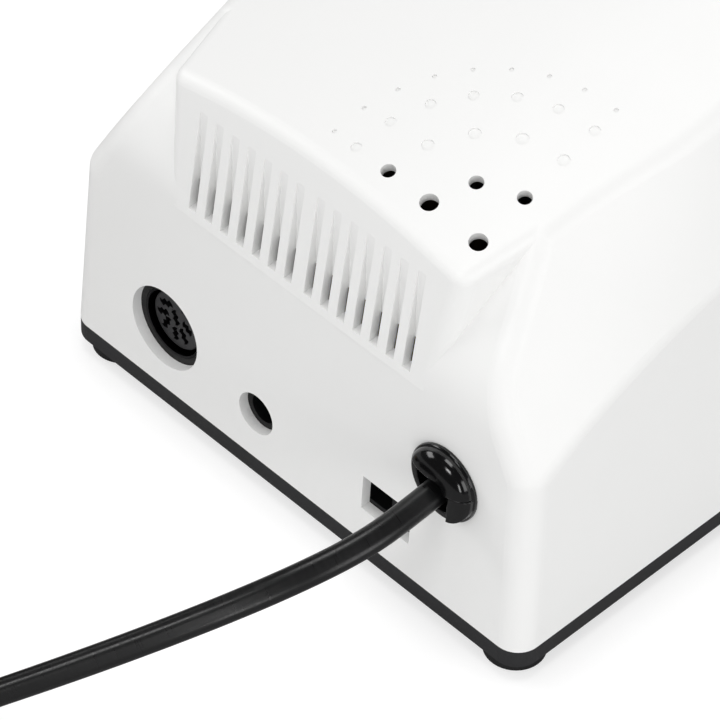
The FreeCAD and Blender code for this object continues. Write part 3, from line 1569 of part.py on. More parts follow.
def make_speed_control():
    place = on_panel("0", "knob_down")
    bore = "(shaft_radius + bore_fit)"
    pot = turned("pot_can", [
        (bore, "bushing_proud"),
        ("bushing_radius", "bushing_proud"),
        ("bushing_radius", PANEL_BACK),
        ("pot_radius", PANEL_BACK),
        ("pot_radius", f"{PANEL_BACK} - pot_depth + inner_rounding"),
        ("pot_radius - inner_rounding", f"{PANEL_BACK} - pot_depth"),
        ("0", f"{PANEL_BACK} - pot_depth"),
        ("0", f"{PANEL_BACK} - pot_depth + wall"),
        (bore, f"{PANEL_BACK} - pot_depth + wall"),
    ], place)
    tabs = [
        block(f"pot_tab_{number}", "terminal_width/2", "pot_radius", "terminal_thickness",
              shifted(place, f"{number}*pot_radius/2", "-pot_radius", f"{PANEL_BACK} - pot_depth/2"))
        for number in (-1, 0, 1)
    ]
    core = cylinder("pot_tab_limit", "pot_radius - wall", "pot_depth",
                    shifted(place, z=f"{PANEL_BACK} - pot_depth"))
    terminals = cut("pot_terminals", group("pot_tab_group", tabs), [core])
    node(fuse("pot_solid", [pot, terminals]), "speed_potentiometer")

    flats = "nut_across_flats"
    corner = f"({flats}/sqrt(3))"
    nut = extruded("nut_hexagon", [
        (f"{corner}*cos({60 * i})", f"{corner}*sin({60 * i})") for i in range(6)
    ], "nut_thickness", place)
    nut_bore = cylinder("nut_bore", "bushing_radius + bore_fit", "4*nut_thickness",
                        shifted(place, z="-2*nut_thickness"))
    node(cut("nut_solid", nut, [nut_bore]), "potentiometer_nut")

    low = f"({PANEL_BACK} - pot_depth + wall + clearance)"
    shaft_end = "(knob_lift + knob_height - 2*wall)"
    rod = cylinder("shaft_rod", "shaft_radius", f"{shaft_end} - {low}", shifted(place, z=low))
    flat = block("shaft_flat_tool", "4*shaft_radius", "2*shaft_radius", "knob_height",
                 shifted(place, y="shaft_flat + shaft_radius", z="bushing_proud + clearance"))
    node(cut("shaft_solid", rod, [flat]), "speed_shaft")

    knob_place = shifted(place, z="knob_lift")
    body = turned("knob_turning", [
        ("nut_across_flats - wall/2", "0"),
        ("knob_skirt", "0"),
        ("knob_skirt", "wall"),
        ("knob_radius", "2*wall"),
        ("knob_radius - pointer_width/2", "knob_height - pointer_width/2"),
        ("knob_radius - pointer_width", "knob_height"),
        ("0", "knob_height"),
        ("0", "bushing_proud + clearance"),
        ("nut_across_flats - wall/2", "bushing_proud + clearance"),
    ], knob_place)
    sketch = sketch_on(body, "knob_flute", "XY_Plane", "2*wall")
    circle(sketch, "knob_radius + pointer_width/2", "0", "pointer_width")
    flute = pocket(body, sketch, "knob_height", both_ways=False, reverse=True)
    pattern = body.newObject("PartDesign::PolarPattern", "knob_flutes")
    pattern.Originals = [flute]
    pattern.Axis = (sketch, ["N_Axis"])
    pattern.Angle = 360
    pattern.Occurrences = KNOB_FLUTES
    body.Tip = pattern
    shaft_bore = cylinder("knob_shaft_bore", bore, "knob_height - 2*wall + bore_fit", knob_place)
    key = block("knob_key", "4*shaft_radius", "2*shaft_radius", "knob_height",
                shifted(knob_place, y="shaft_flat + bore_fit + shaft_radius",
                        z="bushing_proud + 2*clearance - knob_lift"))
    shaft_space = cut("knob_shaft_space", shaft_bore, [key])
    groove_length = "(knob_radius - nut_across_flats/2 - pointer_width)"
    groove_middle = "(nut_across_flats/2 + knob_radius - pointer_width)/2"
    groove = block("knob_groove", "pointer_width", groove_length, "knob_height",
                   shifted(knob_place, y=groove_middle, z="knob_height - pointer_depth"))
    node(cut("knob_solid", body, [shaft_space, groove]), "speed_knob")
    node(block("pointer_bar", "pointer_width", groove_length, "pointer_depth",
               shifted(knob_place, y=groove_middle, z="knob_height - pointer_depth")), "knob_pointer")


REST_TILTS = (("direction", "0"), ("mode", "-rocker_tilt"), ("power", "-rocker_tilt"))


def make_switches():
    for switch, tilt in REST_TILTS:
        across = f"{switch}_across"
        place = on_panel(across, "switch_down")
        bezel = extruded(f"{switch}_bezel", rectangle("bezel_width", "bezel_length", "bezel_proud"),
                         "bezel_proud", place)
        case = block(f"{switch}_case", "switch_width", "switch_length", "switch_depth",
                     shifted(place, z="-switch_depth"))
        tabs = [
            block(f"{switch}_tab_{number}", "terminal_width", "terminal_thickness", "terminal_length",
                  shifted(place, y=f"{number}*switch_length/3", z="-switch_depth - terminal_length"))
            for number in (-1, 0, 1)
        ]
        well = block(f"{switch}_well", "rocker_width + 2*clearance", "2*rocker_reach + 2*clearance",
                     "2*switch_well", shifted(place, z="-switch_well"))
        pin_hole = cylinder(f"{switch}_pin_hole", "rocker_pin + bore_fit", "switch_width",
                            f"{shifted(place, '-switch_width/2', z='rocker_pivot')} * {lying()}")
        node(cut(f"{switch}_solid", fuse(f"{switch}_full", [bezel, case]), [well, pin_hole]),
             f"{switch}_switch")
        node(group(f"{switch}_tab_set", tabs), f"{switch}_terminals")
        make_rocker(switch, on_panel(across, "switch_down", "rocker_pivot", tilt))


def make_rocker(switch, place):
    """A rocker seen from its side: two pads that meet at a low ridge, round ends, a keel below."""
    body = new_body(f"{switch}_rocker_body")
    sketch = sketch_on(body, f"{switch}_rocker_profile", "YZ_Plane")
    high = "sqrt(rocker_reach^2 - rocker_tip^2)"
    low = "sqrt(rocker_reach^2 - rocker_heel^2)"
    outline(sketch, [
        ("0", "-rocker_belly", "rocker_pin"),
        (low, "-rocker_heel"),
        ("rocker_reach", "0"),
        (high, "rocker_tip"),
        ("0", "rocker_ridge"),
        (f"-{high}", "rocker_tip"),
        ("-rocker_reach", "0"),
        (f"-{low}", "-rocker_heel"),
    ])
    pad(body, sketch, "rocker_width", True)
    bind(body, "Placement", place)
    pin = cylinder(f"{switch}_rocker_pin", "rocker_pin", "rocker_width + 2*rocker_pin",
                   f"{shifted(place, '-rocker_width/2 - rocker_pin')} * {lying()}")
    node(fuse(f"{switch}_rocker_solid", [body, pin]), f"{switch}_rocker")


def make_handpiece_socket():
    place = on_panel("handpiece_across", "switch_down")
    floor = f"({PANEL_BACK} - handpiece_depth)"
    face = "(handpiece_ring_proud - handpiece_insert_back)"
    node(turned("handpiece_shell", [
        ("handpiece_bore", "handpiece_ring_proud"),
        ("handpiece_hole", "handpiece_ring_proud"),
        ("handpiece_hole", PANEL_BACK),
        ("handpiece_body", PANEL_BACK),
        ("handpiece_body", floor),
        ("0", floor),
        ("0", f"{floor} + wall"),
        ("handpiece_bore - clearance", f"{floor} + wall"),
        ("handpiece_bore - clearance", face),
        ("handpiece_bore", face),
    ], place), "handpiece_socket")
    node(turned("handpiece_ring_turning", [
        ("handpiece_hole + bore_fit", "0"),
        ("handpiece_ring", "0"),
        ("handpiece_ring", "handpiece_ring_proud - inner_rounding"),
        ("handpiece_ring - inner_rounding", "handpiece_ring_proud"),
        ("handpiece_hole + bore_fit", "handpiece_ring_proud"),
    ], place), "handpiece_ring_nut")
    insert = cylinder("handpiece_plug", "handpiece_bore - clearance - bore_fit", f"{face} - {floor} - wall",
                      shifted(place, z=f"{floor} + wall"))
    holes = []
    for number in range(4):
        turn = f"({number}*90 + 45)"
        holes.append(cylinder(f"handpiece_pin_hole_{number}", "din_pin_radius", "2*wall",
                              shifted(place, f"handpiece_bore/2*cos{turn}", f"handpiece_bore/2*sin{turn}",
                                      f"{face} - wall")))
    node(cut("handpiece_insert_solid", insert, holes), "handpiece_insert")


def make_power_lamp():
    place = on_panel("led_across", "led_down")
    node(turned("lamp_holder_ring", [
        ("led_radius + bore_fit", "0"),
        ("holder_radius", "0"),
        ("holder_radius", "holder_proud", "inner_rounding"),
        ("led_radius + bore_fit", "holder_proud"),
    ], place), "lamp_holder")
    node(turned("lamp_bulb", [
        ("0", f"{PANEL_BACK} - wall"),
        ("holder_radius", f"{PANEL_BACK} - wall"),
        ("holder_radius", PANEL_BACK),
        ("led_radius", PANEL_BACK),
        ("led_radius", "led_dome", "led_radius - inner_rounding"),
        ("0", "led_dome"),
    ], place), "power_lamp")


def check_and_write():
    doc.recompute()
    failed = [item.Name for item in doc.Objects
              if "Invalid" in item.State or "Error" in item.State]
    for name, item in NODES.items():
        shape = item.Shape
        if shape.isNull() or not shape.isValid() or not shape.Solids:
            failed.append(name)
    if failed:
        raise RuntimeError("not built: " + ", ".join(failed))
    for name, item in NODES.items():
        item.Shape.exportStep(f"parts/{name}.step")
    print(len(NODES), "nodes")


def main():
    os.makedirs("parts", exist_ok=True)
    make_housing()
    make_base()
    make_round_socket()
    make_pedal_jack()
    make_voltage_selector()
    make_strain_relief()
    make_mains_lead()
    make_transformer()
    make_terminal_block()
    make_circuit_board()
    make_board_parts()
    make_control_panel()
    make_speed_control()
    make_switches()
    make_handpiece_socket()
    make_power_lamp()
    check_and_write()


if __name__ == "__main__":
    main()
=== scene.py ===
import json
import math

import bmesh
import bpy
from bpy.props import FloatProperty, FloatVectorProperty, IntProperty, PointerProperty
from mathutils import Matrix, Vector


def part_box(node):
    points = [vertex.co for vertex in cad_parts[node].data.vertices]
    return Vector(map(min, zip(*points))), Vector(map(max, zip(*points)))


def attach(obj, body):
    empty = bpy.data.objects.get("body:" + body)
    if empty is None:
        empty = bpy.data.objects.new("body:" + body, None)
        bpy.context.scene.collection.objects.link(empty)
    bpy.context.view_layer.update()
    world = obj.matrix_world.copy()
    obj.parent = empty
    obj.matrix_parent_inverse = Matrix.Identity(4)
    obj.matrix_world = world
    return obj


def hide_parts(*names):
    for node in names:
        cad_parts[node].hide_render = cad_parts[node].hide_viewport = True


# Dressing of a nail drill machine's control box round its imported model: the finish of every piece,
# the mains lead, the printed marks and the stage. Metres, +Z is up, the front faces -Y.

bl_info = {
    "name": "Nail drill machine",
    "version": (1, 0, 0),
    "blender": (4, 5, 0),
    "location": "3D View > Sidebar > Nail drill",
    "description": "Finishes, mains lead, printed marks and stage of a nail drill machine's control box",
    "category": "Object",
}

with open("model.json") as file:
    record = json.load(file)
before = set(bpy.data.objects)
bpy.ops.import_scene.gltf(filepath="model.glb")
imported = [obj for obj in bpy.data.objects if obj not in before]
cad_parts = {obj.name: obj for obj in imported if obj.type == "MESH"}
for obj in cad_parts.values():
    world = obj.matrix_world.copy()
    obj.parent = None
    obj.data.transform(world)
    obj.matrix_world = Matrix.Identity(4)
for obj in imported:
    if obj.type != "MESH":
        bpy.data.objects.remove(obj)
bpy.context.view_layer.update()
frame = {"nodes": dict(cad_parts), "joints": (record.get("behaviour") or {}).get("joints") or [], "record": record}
nodes = frame["nodes"]

MM = 0.001
UP = Vector((0, 0, 1))


# Colours and places

def hex_colour(code):
    """Linear red, green and blue of an sRGB hex value."""
    parts = [int(code[i:i + 2], 16) / 255 for i in (1, 3, 5)]
    return [p / 12.92 if p <= 0.04045 else ((p + 0.055) / 1.055) ** 2.4 for p in parts]


def opaque(colour):
    return (*colour, 1.0)


def joint(name):
    return next(j for j in frame["joints"] if j["name"] == name)


def mount(name):
    return next(m for m in frame["record"]["mounts"] if m["name"] == name)


def face_place(point, normal):
    """A frame on a face: x level to its right, y up the face, z out of it."""
    out = Vector(normal).normalized()
    right = UP.cross(out).normalized()
    return Matrix.Translation(Vector(point)) @ Matrix((right, out.cross(right), out)).transposed().to_4x4()


def settings():
    return bpy.context.scene.nail_drill


# Meshes

def new_mesh(name, points, faces):
    mesh = bpy.data.meshes.new(name)
    mesh.from_pydata([tuple(p) for p in points], [], faces)
    mesh.validate()
    return mesh


def lathe(profile, segments=96):
    """A closed turned mesh; the profile is a line of (radius, height) in mm from the axis round to it."""
    points, rings, faces = [], [], []
    for radius, height in profile:
        count = segments if radius > 0 else 1
        rings.append([len(points) + k for k in range(count)])
        points += [Vector((radius * math.cos(2 * math.pi * k / segments),
                           radius * math.sin(2 * math.pi * k / segments), height)) * MM for k in range(count)]
    for low, high in zip(rings, rings[1:]):
        for k in range(segments):
            corners = [low[k % len(low)], low[(k + 1) % len(low)],
                       high[(k + 1) % len(high)], high[k % len(high)]]
            faces.append(tuple(dict.fromkeys(corners)))
    if profile[0] != profile[-1] and profile[0][0] > 0:
        raise ValueError("the profile of a turned mesh starts and ends on its axis, or closes on itself")
    mesh = new_mesh("turned", points, [f for f in faces if len(f) > 2])
    welded(mesh)
    return mesh


def welded(mesh):
    """Joins points in one place and turns every face outwards."""
    form = bmesh.new()
    form.from_mesh(mesh)
    bmesh.ops.remove_doubles(form, verts=form.verts, dist=1e-7)
    bmesh.ops.recalc_face_normals(form, faces=form.faces)
    form.to_mesh(mesh)
    form.free()


def prism(outline, low, high):
    """A closed mesh that stands on an outline, all in mm."""
    count = len(outline)
    points = [Vector((x, y, z)) * MM for z in (low, high) for x, y in outline]
    faces = [tuple(reversed(range(count))), tuple(range(count, 2 * count))]
    faces += [(k, (k + 1) % count, count + (k + 1) % count, count + k) for k in range(count)]
    mesh = new_mesh("prism", points, faces)
    welded(mesh)
    return mesh


def arc(radius, first, last, steps=16, centre=(0, 0)):
    """Points in mm on an arc between two angles in degrees."""
    angles = [math.radians(first + (last - first) * i / steps) for i in range(steps + 1)]
    return [(centre[0] + radius * math.cos(a), centre[1] + radius * math.sin(a)) for a in angles]


def joined(meshes, places=None):
    """One mesh of several, each moved to its place."""
    form = bmesh.new()
    for i, mesh in enumerate(meshes):
        if places is not None:
            mesh.transform(places[i])
        form.from_mesh(mesh)
    whole = bpy.data.meshes.new("joined")
    form.to_mesh(whole)
    form.free()
    return whole


def worked(mesh, *steps):
    """The mesh after modifiers, each a kind and its settings."""
    holder = bpy.data.objects.new("worked", mesh)
    bpy.context.scene.collection.objects.link(holder)
    helpers = []
    for kind, values in steps:
        modifier = holder.modifiers.new(kind.lower(), kind)
        for name, given in values.items():
            if isinstance(given, bpy.types.Mesh):
                given = bpy.data.objects.new("helper", given)
                bpy.context.scene.collection.objects.link(given)
                helpers.append(given)
            setattr(modifier, name, given)
    ready = holder.evaluated_get(bpy.context.evaluated_depsgraph_get())
    result = bpy.data.meshes.new_from_object(ready)
    for temporary in (holder, *helpers):
        bpy.data.objects.remove(temporary)
    return result


def carved(mesh, *cutters):
    """The mesh less the space of each cutter."""
    return worked(mesh, *(("BOOLEAN", {"operation": "DIFFERENCE", "solver": "EXACT", "object": cutter})
                          for cutter in cutters))


def softened(mesh, voxel, passes, share):
    """The forms of a mesh run together into one moulded skin with soft edges; the voxel is in mm."""
    return worked(mesh, ("REMESH", {"mode": "VOXEL", "voxel_size": voxel * MM}),
                  ("SMOOTH", {"factor": 0.5, "iterations": passes}),
                  ("DECIMATE", {"ratio": share}))


def make_piece(name, mesh, finish, body="case", place=None, smooth=True):
    """A mesh object in the row frame that rides on a body, with its finish."""
    mesh.name = name
    if place is not None:
        mesh.transform(place)
    mesh.polygons.foreach_set("use_smooth", [smooth] * len(mesh.polygons))
    mesh.materials.clear()
    mesh.materials.append(finish)
    piece = bpy.data.objects.new(name, mesh)
    bpy.context.scene.collection.objects.link(piece)
    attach(piece, body)
    return piece


def dress(finish, *names):
    """Gives CAD nodes their finish."""
    for name in names:
        for place in nodes[name].material_slots:
            place.link = "OBJECT"
            place.material = finish


# Materials

# Size in mm of the faint clouds in a moulded surface
CLOUD_SIZE = 14


def add_node(tree, kind, inputs=None, **values):
    """Adds a shader node with its settings; an input is a number, a colour or another node's output."""
    node = tree.nodes.new("ShaderNode" + kind)
    for name, given in values.items():
        setattr(node, name, given)
    for name, given in (inputs or {}).items():
        if isinstance(given, bpy.types.NodeSocket):
            tree.links.new(given, node.inputs[name])
        else:
            node.inputs[name].default_value = given
    return node


def new_finish(name, colour, roughness, **more):
    """A material of one principled surface, its node tree and that surface."""
    material = bpy.data.materials.new(name)
    material.use_nodes = True
    surface = material.node_tree.nodes["Principled BSDF"]
    surface.inputs["Base Color"].default_value = opaque(colour)
    surface.inputs["Roughness"].default_value = roughness
    for socket, given in more.items():
        surface.inputs[socket.replace("_", " ").title().replace("Ior", "IOR")].default_value = given
    return material, material.node_tree, surface


def moulded(name, colour, roughness, grain, depth, mottle=0.04, **more):
    """A moulded plastic or rubber: sparked grain of a size and depth in mm, and a faint cloudy mottle."""
    material, tree, surface = new_finish(name, colour, roughness, **more)
    place = add_node(tree, "TexCoord").outputs["Object"]
    clouds = add_node(tree, "TexNoise", {"Vector": place, "Scale": 1 / (CLOUD_SIZE * MM), "Detail": 3.0})
    darker = [c * (1 - mottle) for c in colour]
    shade = add_node(tree, "Mix", {0: clouds.outputs["Fac"], 6: opaque(colour), 7: opaque(darker)},
                     data_type="RGBA")
    tree.links.new(shade.outputs[2], surface.inputs["Base Color"])
    spark = add_node(tree, "TexNoise", {"Vector": place, "Scale": 1 / (grain * MM), "Detail": 2.0})
    gloss = add_node(tree, "MapRange", {"Value": clouds.outputs["Fac"], "To Min": roughness * 0.9,
                                        "To Max": roughness * 1.1})
    tree.links.new(gloss.outputs["Result"], surface.inputs["Roughness"])
    bump = add_node(tree, "Bump", {"Height": spark.outputs["Fac"], "Distance": depth * MM})
    tree.links.new(bump.outputs["Normal"], surface.inputs["Normal"])
    return material


def metal(name, colour, roughness, grain, stretch=(1, 1, 1), depth=0.004):
    """A metal face with grinding or drawing marks, their width in mm, drawn out along an axis."""
    material, tree, surface = new_finish(name, colour, roughness, metallic=1.0)
    place = add_node(tree, "TexCoord").outputs["Object"]
    drawn = add_node(tree, "Mapping", {"Vector": place, "Scale": stretch})
    marks = add_node(tree, "TexNoise", {"Vector": drawn.outputs["Vector"], "Scale": 1 / (grain * MM),
                                        "Detail": 4.0})
    gloss = add_node(tree, "MapRange", {"Value": marks.outputs["Fac"], "To Min": roughness * 0.7,
                                        "To Max": roughness * 1.4})
    tree.links.new(gloss.outputs["Result"], surface.inputs["Roughness"])
    bump = add_node(tree, "Bump", {"Height": marks.outputs["Fac"], "Distance": depth * MM})
    tree.links.new(bump.outputs["Normal"], surface.inputs["Normal"])
    return material


def striped(name, first, second, pitch, axis, roughness, depth, **more):
    """Fine bands of two colours across an axis, each pair as wide as the pitch in mm, slightly raised."""
    material, tree, surface = new_finish(name, first, roughness, **more)
    place = add_node(tree, "TexCoord").outputs["Object"]
    bands = add_node(tree, "TexWave", {"Vector": place, "Scale": math.pi / (10 * pitch * MM),
                                       "Distortion": 0.6, "Detail": 2.0, "Detail Scale": 1.5},
                     bands_direction=axis)
    shade = add_node(tree, "Mix", {0: bands.outputs["Fac"], 6: opaque(first), 7: opaque(second)},
                     data_type="RGBA")
    tree.links.new(shade.outputs[2], surface.inputs["Base Color"])
    bump = add_node(tree, "Bump", {"Height": bands.outputs["Fac"], "Distance": depth * MM})
    tree.links.new(bump.outputs["Normal"], surface.inputs["Normal"])
    return material


def white_abs():
    # Injection moulded ABS from a finely sparked mould: a satin white skin with soft highlights
    return moulded("satin_white_abs", settings().shell.colour, 0.42, 0.35, 0.006, 0.012, ior=1.53)


def charcoal_abs():
    # The same plastic with carbon black in a coarser mould: a dark, dry band that hides dust
    return moulded("charcoal_abs", hex_colour("#252527"), 0.5, 0.3, 0.02, 0.08, ior=1.53)


def black_rubber():
    # Compression moulded nitrile rubber: nearly black and dull, with a soft edge light
    return moulded("moulded_nitrile_rubber", hex_colour("#1B1B1C"), 0.72, 0.5, 0.03, 0.15, ior=1.52)


def black_nylon():
    # Polished black nylon: a wet-looking gloss with small sharp highlights
    return moulded("polished_black_nylon", hex_colour("#080809"), 0.13, 1.2, 0.004, 0.1, ior=1.55)


def black_phenolic_and_slot_shade():
    # Matt black socket moulding: swallows light inside the wells; also laid on the insert's slot walls as painted
    # shade
    return moulded("black_phenolic_and_slot_shade", hex_colour("#101011"), 0.42, 0.4, 0.01, 0.1, ior=1.55,
                   specular_ior_level=0.25)


def cord_pvc():
    # Extruded PVC sheath: satin black with faint scuffs across it where it has been handled
    material, tree, surface = new_finish("extruded_black_pvc", hex_colour("#0E0E0F"), 0.32, ior=1.54)
    along = add_node(tree, "UVMap", uv_map="run").outputs["UV"]
    drawn = add_node(tree, "Mapping", {"Vector": along, "Scale": (1 / (9 * MM), 1 / (0.5 * MM), 1)})
    lines = add_node(tree, "TexNoise", {"Vector": drawn.outputs["Vector"], "Scale": 1.0, "Detail": 3.0})
    crossing = add_node(tree, "Mapping", {"Vector": along, "Scale": (1 / (0.35 * MM), 1 / (5 * MM), 1)})
    scuffs = add_node(tree, "TexNoise", {"Vector": crossing.outputs["Vector"], "Scale": 1.0, "Detail": 2.0})
    gloss = add_node(tree, "MapRange", {"Value": scuffs.outputs["Fac"], "From Min": 0.3, "From Max": 0.8,
                                        "To Min": 0.27, "To Max": 0.4})
    tree.links.new(gloss.outputs["Result"], surface.inputs["Roughness"])
    ridge = add_node(tree, "Bump", {"Height": lines.outputs["Fac"], "Distance": 0.02 * MM})
    scuffed = add_node(tree, "Bump", {"Height": scuffs.outputs["Fac"], "Distance": 0.003 * MM,
                                      "Normal": ridge.outputs["Normal"]})
    tree.links.new(scuffed.outputs["Normal"], surface.inputs["Normal"])
    return material


def plug_pvc():
    # Injection moulded PVC of the plug: satin black with a fine mould texture
    return moulded("moulded_black_pvc", hex_colour("#151516"), 0.4, 0.3, 0.015, 0.1, ior=1.54)


def knob_plastic():
    # Soft-touch paint over moulded ABS: velvety dark grey that greys at grazing angles
    return moulded("soft_touch_knob_paint", hex_colour("#2B2B2D"), 0.48, 0.22, 0.012, 0.1,
                   sheen_weight=0.25, sheen_roughness=0.4)


def rocker_plastic():
    # Polished black ABS of the rockers: a clean gloss that shows the lamps as soft bars
    return moulded("polished_black_abs", hex_colour("#121213"), 0.2, 1.0, 0.005, 0.1, ior=1.53)


def overlay_film():
    # Screen printed polyester film: even grey with a fine matt tooth
    return moulded("printed_polyester_overlay", hex_colour("#B9BCBF"), 0.36, 0.16, 0.006, 0.03, ior=1.57)


def overlay_ink():
    # Screen printing ink: dense dark grey, slightly uneven where the mesh left it
    return moulded("screen_printing_ink", hex_colour("#26282B"), 0.5, 0.25, 0.004, 0.2)


def pointer_paint():
    # Filled white enamel of the pointer: a hard, slightly yellow white
    return moulded("white_enamel_fill", hex_colour("#ECEBE6"), 0.28, 0.6, 0.01, 0.03)


def socket_resin():
    # Glass filled socket insert: dark grey, dry, with the short fibres just showing
    return moulded("glass_filled_resin", hex_colour("#333335"), 0.5, 0.28, 0.015, 0.14, ior=1.55)


def zinc_steel():
    # Bright zinc plating on steel: cool grey with rolling marks and soft reflections
    return metal("zinc_plated_steel", hex_colour("#B4B7BC"), 0.3, 0.4, (1, 1, 6), 0.006)


def nickel_plate():
    # Nickel plating on turned brass: warm bright metal with fine turning marks
    return metal("turned_nickel_plate", hex_colour("#C9C4BC"), 0.17, 0.18, (1, 1, 9), 0.003)


def black_nickel_gap_shade():
    # Black nickel on drawn sheet: a dark mirror; its dark tone is partly painted shade for the deep gap round the
    # socket's insert
    return metal("black_nickel_plate_gap_shade", hex_colour("#17171A"), 0.3, 0.3, (1, 1, 5), 0.004)


def stamped_brass():
    # Stamped brass with drawing lines along it: yellow, clean, a little dulled
    return metal("stamped_brass", hex_colour("#C3A05A"), 0.27, 0.25, (1, 0.12, 1), 0.006)


def rolled_aluminium():
    # Extruded aluminium with die lines along its run: pale, satin
    return metal("extruded_aluminium", hex_colour("#BFC1C4"), 0.36, 0.2, (1, 1, 0.1), 0.01)


def laminations():
    # Stacked silicon steel under varnish: thin dark sheets with a brown-black sheen between them
    return striped("varnished_laminations", hex_colour("#4A4744"), hex_colour("#1E1C1B"), 1.0, "Y",
                   0.35, 0.12, coat_weight=0.6, coat_roughness=0.15)


def winding_tape():
    # Polyester tape wound over the coil: amber film with its overlaps showing
    return striped("wound_polyester_tape", hex_colour("#C99A2E"), hex_colour("#B4831F"), 7.0, "Z", 0.22, 0.15,
                   coat_weight=0.4, coat_roughness=0.1)


def circuit_mask():
    # Green solder mask over copper tracks: tracks stand out lighter and a little raised
    material, tree, surface = new_finish("green_solder_mask", hex_colour("#0E5A2E"), 0.25, ior=1.55)
    place = add_node(tree, "TexCoord").outputs["Object"]
    tracks = add_node(tree, "TexVoronoi", {"Vector": place, "Scale": 1 / (6 * MM)}, distance="MANHATTAN",
                      feature="DISTANCE_TO_EDGE")
    lines = add_node(tree, "MapRange", {"Value": tracks.outputs["Distance"], "From Min": 0.08,
                                        "From Max": 0.12, "To Min": 1.0, "To Max": 0.0})
    shade = add_node(tree, "Mix", {0: lines.outputs["Result"], 6: opaque(hex_colour("#0B4A26")),
                                   7: opaque(hex_colour("#2A8A4C"))}, data_type="RGBA")
    tree.links.new(shade.outputs[2], surface.inputs["Base Color"])
    bump = add_node(tree, "Bump", {"Height": lines.outputs["Result"], "Distance": 0.035 * MM})
    tree.links.new(bump.outputs["Normal"], surface.inputs["Normal"])
    return material


def black_epoxy():
    # Transfer moulded epoxy of the electronic parts: flat black with a fine grit
    return moulded("moulded_black_epoxy", hex_colour("#19191A"), 0.5, 0.15, 0.012, 0.12)


def natural_nylon():
    # Unpigmented nylon: milky, slightly yellow, light goes into it
    return moulded("natural_nylon", hex_colour("#E3DFD2"), 0.38, 0.5, 0.008, 0.05, ior=1.53,
                   subsurface_weight=0.2, subsurface_scale=1.0 * MM)


def shrunk_sleeve():
    # Shrunk PVC sleeve of the capacitors: dark blue film, glossy, slightly wrinkled round the cans
    return moulded("shrunk_pvc_sleeve", hex_colour("#121B4A"), 0.2, 2.5, 0.05, 0.1, ior=1.54)


def fuse_glass():
    # Drawn glass tube of the fuse: clear with a faint draw ripple
    material, tree, surface = new_finish("drawn_glass_tube", hex_colour("#F2F6F5"), 0.02, ior=1.5,
                                         transmission_weight=1.0)
    place = add_node(tree, "TexCoord").outputs["Object"]
    ripple = add_node(tree, "TexNoise", {"Vector": place, "Scale": 1 / (2.5 * MM), "Detail": 1.0})
    gloss = add_node(tree, "MapRange", {"Value": ripple.outputs["Fac"], "To Min": 0.01, "To Max": 0.05})
    tree.links.new(gloss.outputs["Result"], surface.inputs["Roughness"])
    bump = add_node(tree, "Bump", {"Height": ripple.outputs["Fac"], "Distance": 0.01 * MM})
    tree.links.new(bump.outputs["Normal"], surface.inputs["Normal"])
    return material


def lamp_lens():
    # Tinted diffusing epoxy of the lamp: deep red, lighter where it is thin, with a frosted body
    material, tree, surface = new_finish("tinted_lamp_epoxy", hex_colour("#B3120E"), 0.12, ior=1.54,
                                         transmission_weight=0.55)
    place = add_node(tree, "TexCoord").outputs["Object"]
    haze = add_node(tree, "TexNoise", {"Vector": place, "Scale": 1 / (1.1 * MM), "Detail": 2.0})
    shade = add_node(tree, "Mix", {0: haze.outputs["Fac"], 6: opaque(hex_colour("#9E0F0C")),
                                   7: opaque(hex_colour("#D0251C"))}, data_type="RGBA")
    tree.links.new(shade.outputs[2], surface.inputs["Base Color"])
    gloss = add_node(tree, "MapRange", {"Value": haze.outputs["Fac"], "To Min": 0.08, "To Max": 0.2})
    tree.links.new(gloss.outputs["Result"], surface.inputs["Roughness"])
    return material


def tie_rubber():
    # Ribbed rubber strap of the coil: dull black with fine ribs across it
    return striped("ribbed_rubber_strap", hex_colour("#1D1D1E"), hex_colour("#141415"), 1.2, "Z", 0.7, 0.12)


def once(build):
    """The material that a function makes, made the first time that it is asked for."""
    name = "built_" + build.__name__
    if name not in once.made:
        once.made[name] = build()
    return once.made[name]


once.made = {}


# Properties

class StageSizes(bpy.types.PropertyGroup):
    lens: FloatProperty(name="Focal length", description="Lens on a sensor 36 mm wide",
                        default=212.0, min=20.0, subtype="DISTANCE_CAMERA")
    bearing: FloatProperty(name="Bearing", default=math.radians(44.306), subtype="ANGLE",
                           description="How far round from straight behind, towards -X, the camera stands")
    height: FloatProperty(name="Elevation", description="How far above the horizon the camera stands",
                          default=math.radians(45.21), subtype="ANGLE")
    roll: FloatProperty(name="Roll", description="Tilt of the camera about its own axis",
                        default=math.radians(-2.12), subtype="ANGLE")
    distance: FloatProperty(name="Distance", description="From the camera to the point it looks at",
                            default=752.02 * MM, unit="LENGTH")
    target: FloatVectorProperty(name="Target", description="The point that the camera looks at",
                                default=(-18.34 * MM, 75.0 * MM, 53.70 * MM), subtype="TRANSLATION")
    floor_size: FloatProperty(name="Floor", description="Width of the floor", default=6.0, unit="LENGTH")
    room: FloatProperty(name="Room light", description="Brightness of the white room round the stage",
                        default=0.56, min=0.0)


class ShellFinish(bpy.types.PropertyGroup):
    colour: FloatVectorProperty(name="Shell colour", description="Colour of the moulded top housing",
                                default=hex_colour("#F1F1F0"), subtype="COLOR")


class LeadSizes(bpy.types.PropertyGroup):
    width: FloatProperty(name="Width", description="Width of the flat two-core lead",
                         default=5.2 * MM, unit="LENGTH")
    thickness: FloatProperty(name="Thickness", description="Thickness of the flat two-core lead",
                             default=3.7 * MM, unit="LENGTH")
    waist: FloatProperty(name="Waist", description="Depth of the groove between the cores, of the thickness",
                         default=0.07, subtype="FACTOR")
    length: FloatProperty(name="Length", description="Length of the lead from its exit to the plug",
                          default=1.51, unit="LENGTH")
    steps: IntProperty(name="Steps", description="Rings of the sheath between two points of its route",
                       default=8, min=2)


